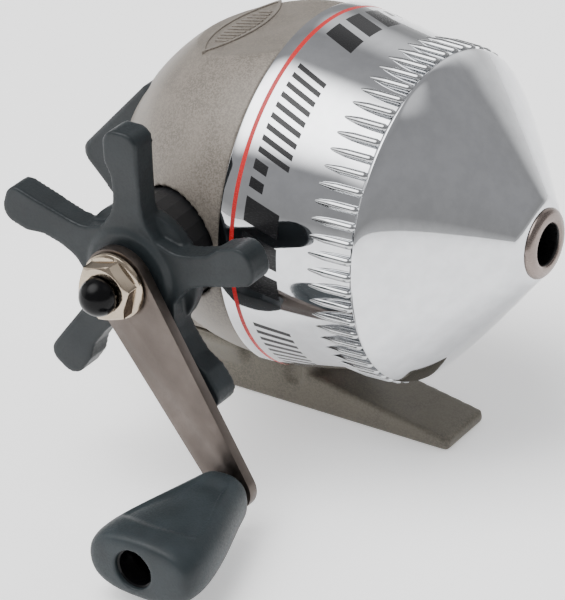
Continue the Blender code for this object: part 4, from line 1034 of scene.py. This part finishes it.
def build_star():
    star = stamp("star_wheel", star_outline(), STAR_FRONT - STAR_DEPTH, STAR_FRONT, OUTWARD, CRANK)
    disc = lathe("disc", [(STAR_BACK + 2.6, 0), (STAR_BACK + 2.6, 9.0), (STAR_BACK + 1.9, 11.5),
                          (STAR_BACK - 0.3, 11.5), (STAR_BACK - 0.3, 0)], OUTWARD, CRANK, 96)
    combine(star, "UNION", disc)
    bore = drill("bore", STAR_BORE, 20, THROUGH, CRANK)
    pocket = drill("pocket", STAR_POCKET, 20, STAR_BACK + 4.0, CRANK)
    combine(star, "DIFFERENCE", bore, pocket)
    melt(star, 0.30, 3)
    settle(star, 0)
    for vertex in star.data.vertices:
        out = -vertex.co.y / MM
        radius = math.hypot(vertex.co.x / MM - CRANK.x, vertex.co.z / MM - CRANK.z)
        lean = max(0.0, min(1.0, (WEB_EDGE - radius) / WEB_FADE))
        lean = lean * lean * (3 - 2 * lean)
        share = max(0.0, min(1.0, (out - STAR_BACK - 2.4) / 2.5))
        hub = max(0.0, min(1.0, (HUB_EDGE - radius) / HUB_FADE))
        vertex.co.y += STAR_DISH * lean * share * (1 - hub) * MM
    return star


star = build_star()
mount(star, "star", "grey_plastic", star_plastic, "star_drag")

# %% [markdown]
# ## Crank arm, nut and cap
# The arm is stamped from 2 mm steel and tumbled, which leaves a narrow rounded edge that catches light along
# its whole length. The nut has chamfered corners and a washer flange, and a black cap covers the shaft's end.

# %% Crank arm
CRANK_THROW = (KNOB - CRANK).length
CRANK_ANGLE = math.atan2(KNOB.z - CRANK.z, KNOB.x - CRANK.x)
PLATE_BACK = 44.0
PLATE_FRONT = 46.0
SHAFT_HOLE = 2.66
PIN_HOLE = 1.96


def arm_outline():
    big = 6.3
    small = 3.9
    lean = math.acos((big - small) / CRANK_THROW)
    head = arc((0, 0), big, lean, 2 * math.pi - lean, 40)
    tail = arc((CRANK_THROW, 0), small, -lean, lean, 24)
    return spun(head + tail, CRANK_ANGLE)


arm = stamp("arm_plate", arm_outline(), PLATE_BACK, PLATE_FRONT, OUTWARD, CRANK)
combine(arm, "DIFFERENCE", drill("shaft_hole", SHAFT_HOLE, 30, THROUGH, CRANK),
        drill("pin_hole", PIN_HOLE, 30, THROUGH, KNOB))
settle(chamfer(arm, 0.32, 3), 50.0)
mount(arm, "crank", "brushed_steel", arm_steel, "crank_arm")

# %% Nut and cap
NUT_START = 46.3
NUT_END = 50.2
NUT_RADIUS = 5.5
CAP_END = 54.4
CAP_RADIUS = 3.4


def build_nut():
    corners = spun([(NUT_RADIUS * math.cos(math.pi / 3 * i), NUT_RADIUS * math.sin(math.pi / 3 * i))
                    for i in range(6)], math.radians(15))
    nut = stamp("hex_nut", corners, NUT_START + 0.5, NUT_END, OUTWARD, CRANK)
    cone = lathe("nut_cone", [(NUT_END + 0.01, 0), (NUT_END + 0.01, 4.55), (NUT_END - 0.55, NUT_RADIUS + 0.05),
                              (NUT_START - 1, NUT_RADIUS + 0.05), (NUT_START - 1, 0)], OUTWARD, CRANK, 96)
    combine(nut, "INTERSECT", cone)
    flange = lathe("nut_flange", [(NUT_START + 1.15, 0), (NUT_START + 1.15, 5.3), (NUT_START + 0.85, 5.9),
                                  (NUT_START + 0.3, 6.0), (NUT_START, 5.8), (NUT_START, 0)], OUTWARD, CRANK, 96)
    combine(nut, "UNION", flange)
    combine(nut, "DIFFERENCE", drill("nut_bore", SHAFT_HOLE, 30, THROUGH, CRANK))
    return chamfer(nut, 0.10, 2, 28.0)


nut = settle(build_nut(), 32.0)
mount(nut, "crank", "nickel", nut_nickel, "crank_nut")

cap_curve = [(CAP_END, 0)] + arc((CAP_END - CAP_RADIUS, 0), CAP_RADIUS, 0, math.pi / 2, 14)[1:]
cap_rim = [(NUT_END + 0.55, CAP_RADIUS), (NUT_END + 0.3, CAP_RADIUS - 0.2), (NUT_END + 0.3, SHAFT_HOLE)]
cap_profile = cap_curve + cap_rim + [(CAP_END - 2.3, SHAFT_HOLE), (CAP_END - 2.3, 0)]
cap = settle(lathe("end_cap", cap_profile, OUTWARD, CRANK, 72), 50.0)
mount(cap, "crank", "black_plastic", gloss_black, "shaft_cap")

# %% [markdown]
# ## Knob
# A paddle knob is easiest as a coarse cage: eight-sided rings that grow wider along its length, smoothed by
# subdivision. The finger panels on its two broad sides are then pressed in by moving points, so that they keep
# a soft but clear edge.

# %% Knob
KNOB_START = 46.3
KNOB_LENGTH = 28.4
KNOB_HALF_WIDTH = 10.5
KNOB_HALF_HEIGHT = 5.8
KNOB_HOLE = 3.6
KNOB_HOLE_DEPTH = 7.0


def knob_rings():
    wide = KNOB_HALF_WIDTH
    high = KNOB_HALF_HEIGHT
    return [(0.0, 0.0, 0.0, 4.6, 4.4), (0.12, 0.0, 0.0, 5.0, 4.8), (0.45, 0.6, 0.1, wide * 0.79, high * 0.92),
            (0.80, 0.9, 0.1, wide * 1.04, high * 1.04), (0.97, 0.8, 0.0, wide * 0.98, high),
            (1.0, 0.8, 0.0, wide * 0.84, high * 0.82)]


def build_knob():
    work = bmesh.new()
    rings = []
    for share, across, up, half_width, half_height in knob_rings():
        ring = []
        for index in range(8):
            angle = 2 * math.pi * (index + 0.5) / 8
            x = across + half_width * 1.08 * math.copysign(abs(math.cos(angle)) ** 0.7, math.cos(angle))
            z = up + half_height * 1.08 * math.copysign(abs(math.sin(angle)) ** 0.7, math.sin(angle))
            ring.append(work.verts.new(Vector((x, z, KNOB_START + share * KNOB_LENGTH)) * MM))
        rings.append(ring)
    for low, high in zip(rings, rings[1:]):
        for index in range(8):
            after = (index + 1) % 8
            work.faces.new((low[index], low[after], high[after], high[index]))
    work.faces.new(list(reversed(rings[0])))
    work.faces.new(rings[-1])
    mesh = bpy.data.meshes.new("paddle_knob")
    work.to_mesh(mesh)
    work.free()
    knob = put("paddle_knob", mesh, OUTWARD, KNOB)
    smooth = knob.modifiers.new("form", "SUBSURF")
    smooth.levels = 4
    smooth.render_levels = 4
    end = KNOB_START + KNOB_LENGTH
    bore = drill("knob_bore", PIN_HOLE, KNOB_START - 3, end + 3, KNOB)
    sink = drill("knob_sink", KNOB_HOLE, end - KNOB_HOLE_DEPTH, end + 3, KNOB, 64)
    face = block("knob_face", (-15, -KNOB_START, -15), (15, -KNOB_START + 6, 15), at=KNOB)
    combine(knob, "DIFFERENCE", bore, sink, face)
    melt(knob, 0.34, 3)
    settle(knob, 0)
    press_panels(knob)
    return knob


def ease(value, low, high):
    share = max(0.0, min(1.0, (value - low) / (high - low)))
    return share * share * (3 - 2 * share)


def press_panels(knob):
    """Sink the finger panels on the two broad sides by half a millimetre."""
    for vertex in knob.data.vertices:
        along = (-vertex.co.y / MM - KNOB_START) / KNOB_LENGTH
        across = vertex.co.x / MM - KNOB.x
        up = vertex.co.z / MM - KNOB.z
        limit = 3.2 + 6.0 * ease(along, 0.1, 0.8)
        side = (across - 0.7 * along) / limit
        inside = 1 - ease(abs(side), 0.72, 0.90)
        ends = ease(along, 0.12, 0.24) * (1 - ease(along + 0.10 * side * side, 0.76, 0.84))
        broad = ease(abs(up), 1.8, 3.2)
        vertex.co.z -= math.copysign(0.55 * inside * ends * broad, up) * MM


knob = build_knob()
mount(knob, "knob", "grey_plastic", knob_plastic, "knob")

# A gloss black sleeve lining the knob's end hole is painted shade: it darkens the hole, where the real knob has
# only shade.
shade_sleeve_end = KNOB_START + KNOB_LENGTH
shade_sleeve_start = shade_sleeve_end - KNOB_HOLE_DEPTH
shade_sleeve = lathe("hole_shade_sleeve", [(shade_sleeve_end - 0.9, KNOB_HOLE - 0.05), (shade_sleeve_start + 0.1, KNOB_HOLE - 0.05),
                               (shade_sleeve_start + 0.1, 2.9), (shade_sleeve_start + 0.35, 2.9),
                               (shade_sleeve_start + 0.5, KNOB_HOLE - 0.35), (shade_sleeve_end - 1.1, KNOB_HOLE - 0.35)],
               OUTWARD, KNOB, 64)
mount(settle(shade_sleeve, 40.0), "knob", "black_plastic", gloss_black)

# %% [markdown]
# ## Thumb button
# The button is a hollow wedge that slides in the back cover. It is moulded, so the CAD solid is melted.

# %% Thumb button
button = melt(cad_copy("thumb_button", "thumb_wedge"), 0.4, 5)
settle(button, 0)
mount(button, "thumb_button", "grey_plastic", button_plastic, "thumb_button")

# %% [markdown]
# ## Finishes for the pieces that keep their CAD shape
# Everything inside the reel keeps the solid it has. Each piece gets the finish of its real material, because
# a reel in a game or a film may be taken apart.

# %% Give every kept piece its finish
KEPT = {
    small_steel: ["deck_screw_1", "deck_screw_2", "deck_screw_3", "spool_clip", "centre_shaft", "pickup_pin",
                  "pickup_spring", "shaft_clip", "crank_shaft", "drag_spring_washer", "ratchet_wheel", "knob_pin",
                  "bracket_screw_1", "bracket_screw_2", "return_spring", "anti_reverse_pawl", "pawl_stud",
                  "pawl_spring"],
    cast_alloy: ["spool", "spinner_head", "drive_gear", "shaft_bracket"],
    turned_brass: ["head_nut", "pinion_gear", "pinion_bush", "drag_sleeve", "drag_nut"],
    bearing_black: ["crank_bearing"],
    drag_fibre: ["drag_washer"],
    line_finish: ["line_winding"],
}
for finish, names in KEPT.items():
    for name in names:
        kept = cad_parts[name]
        kept.data.materials.clear()
        kept.data.materials.append(finish.material)
print("kept pieces:", sum(len(names) for names in KEPT.values()))
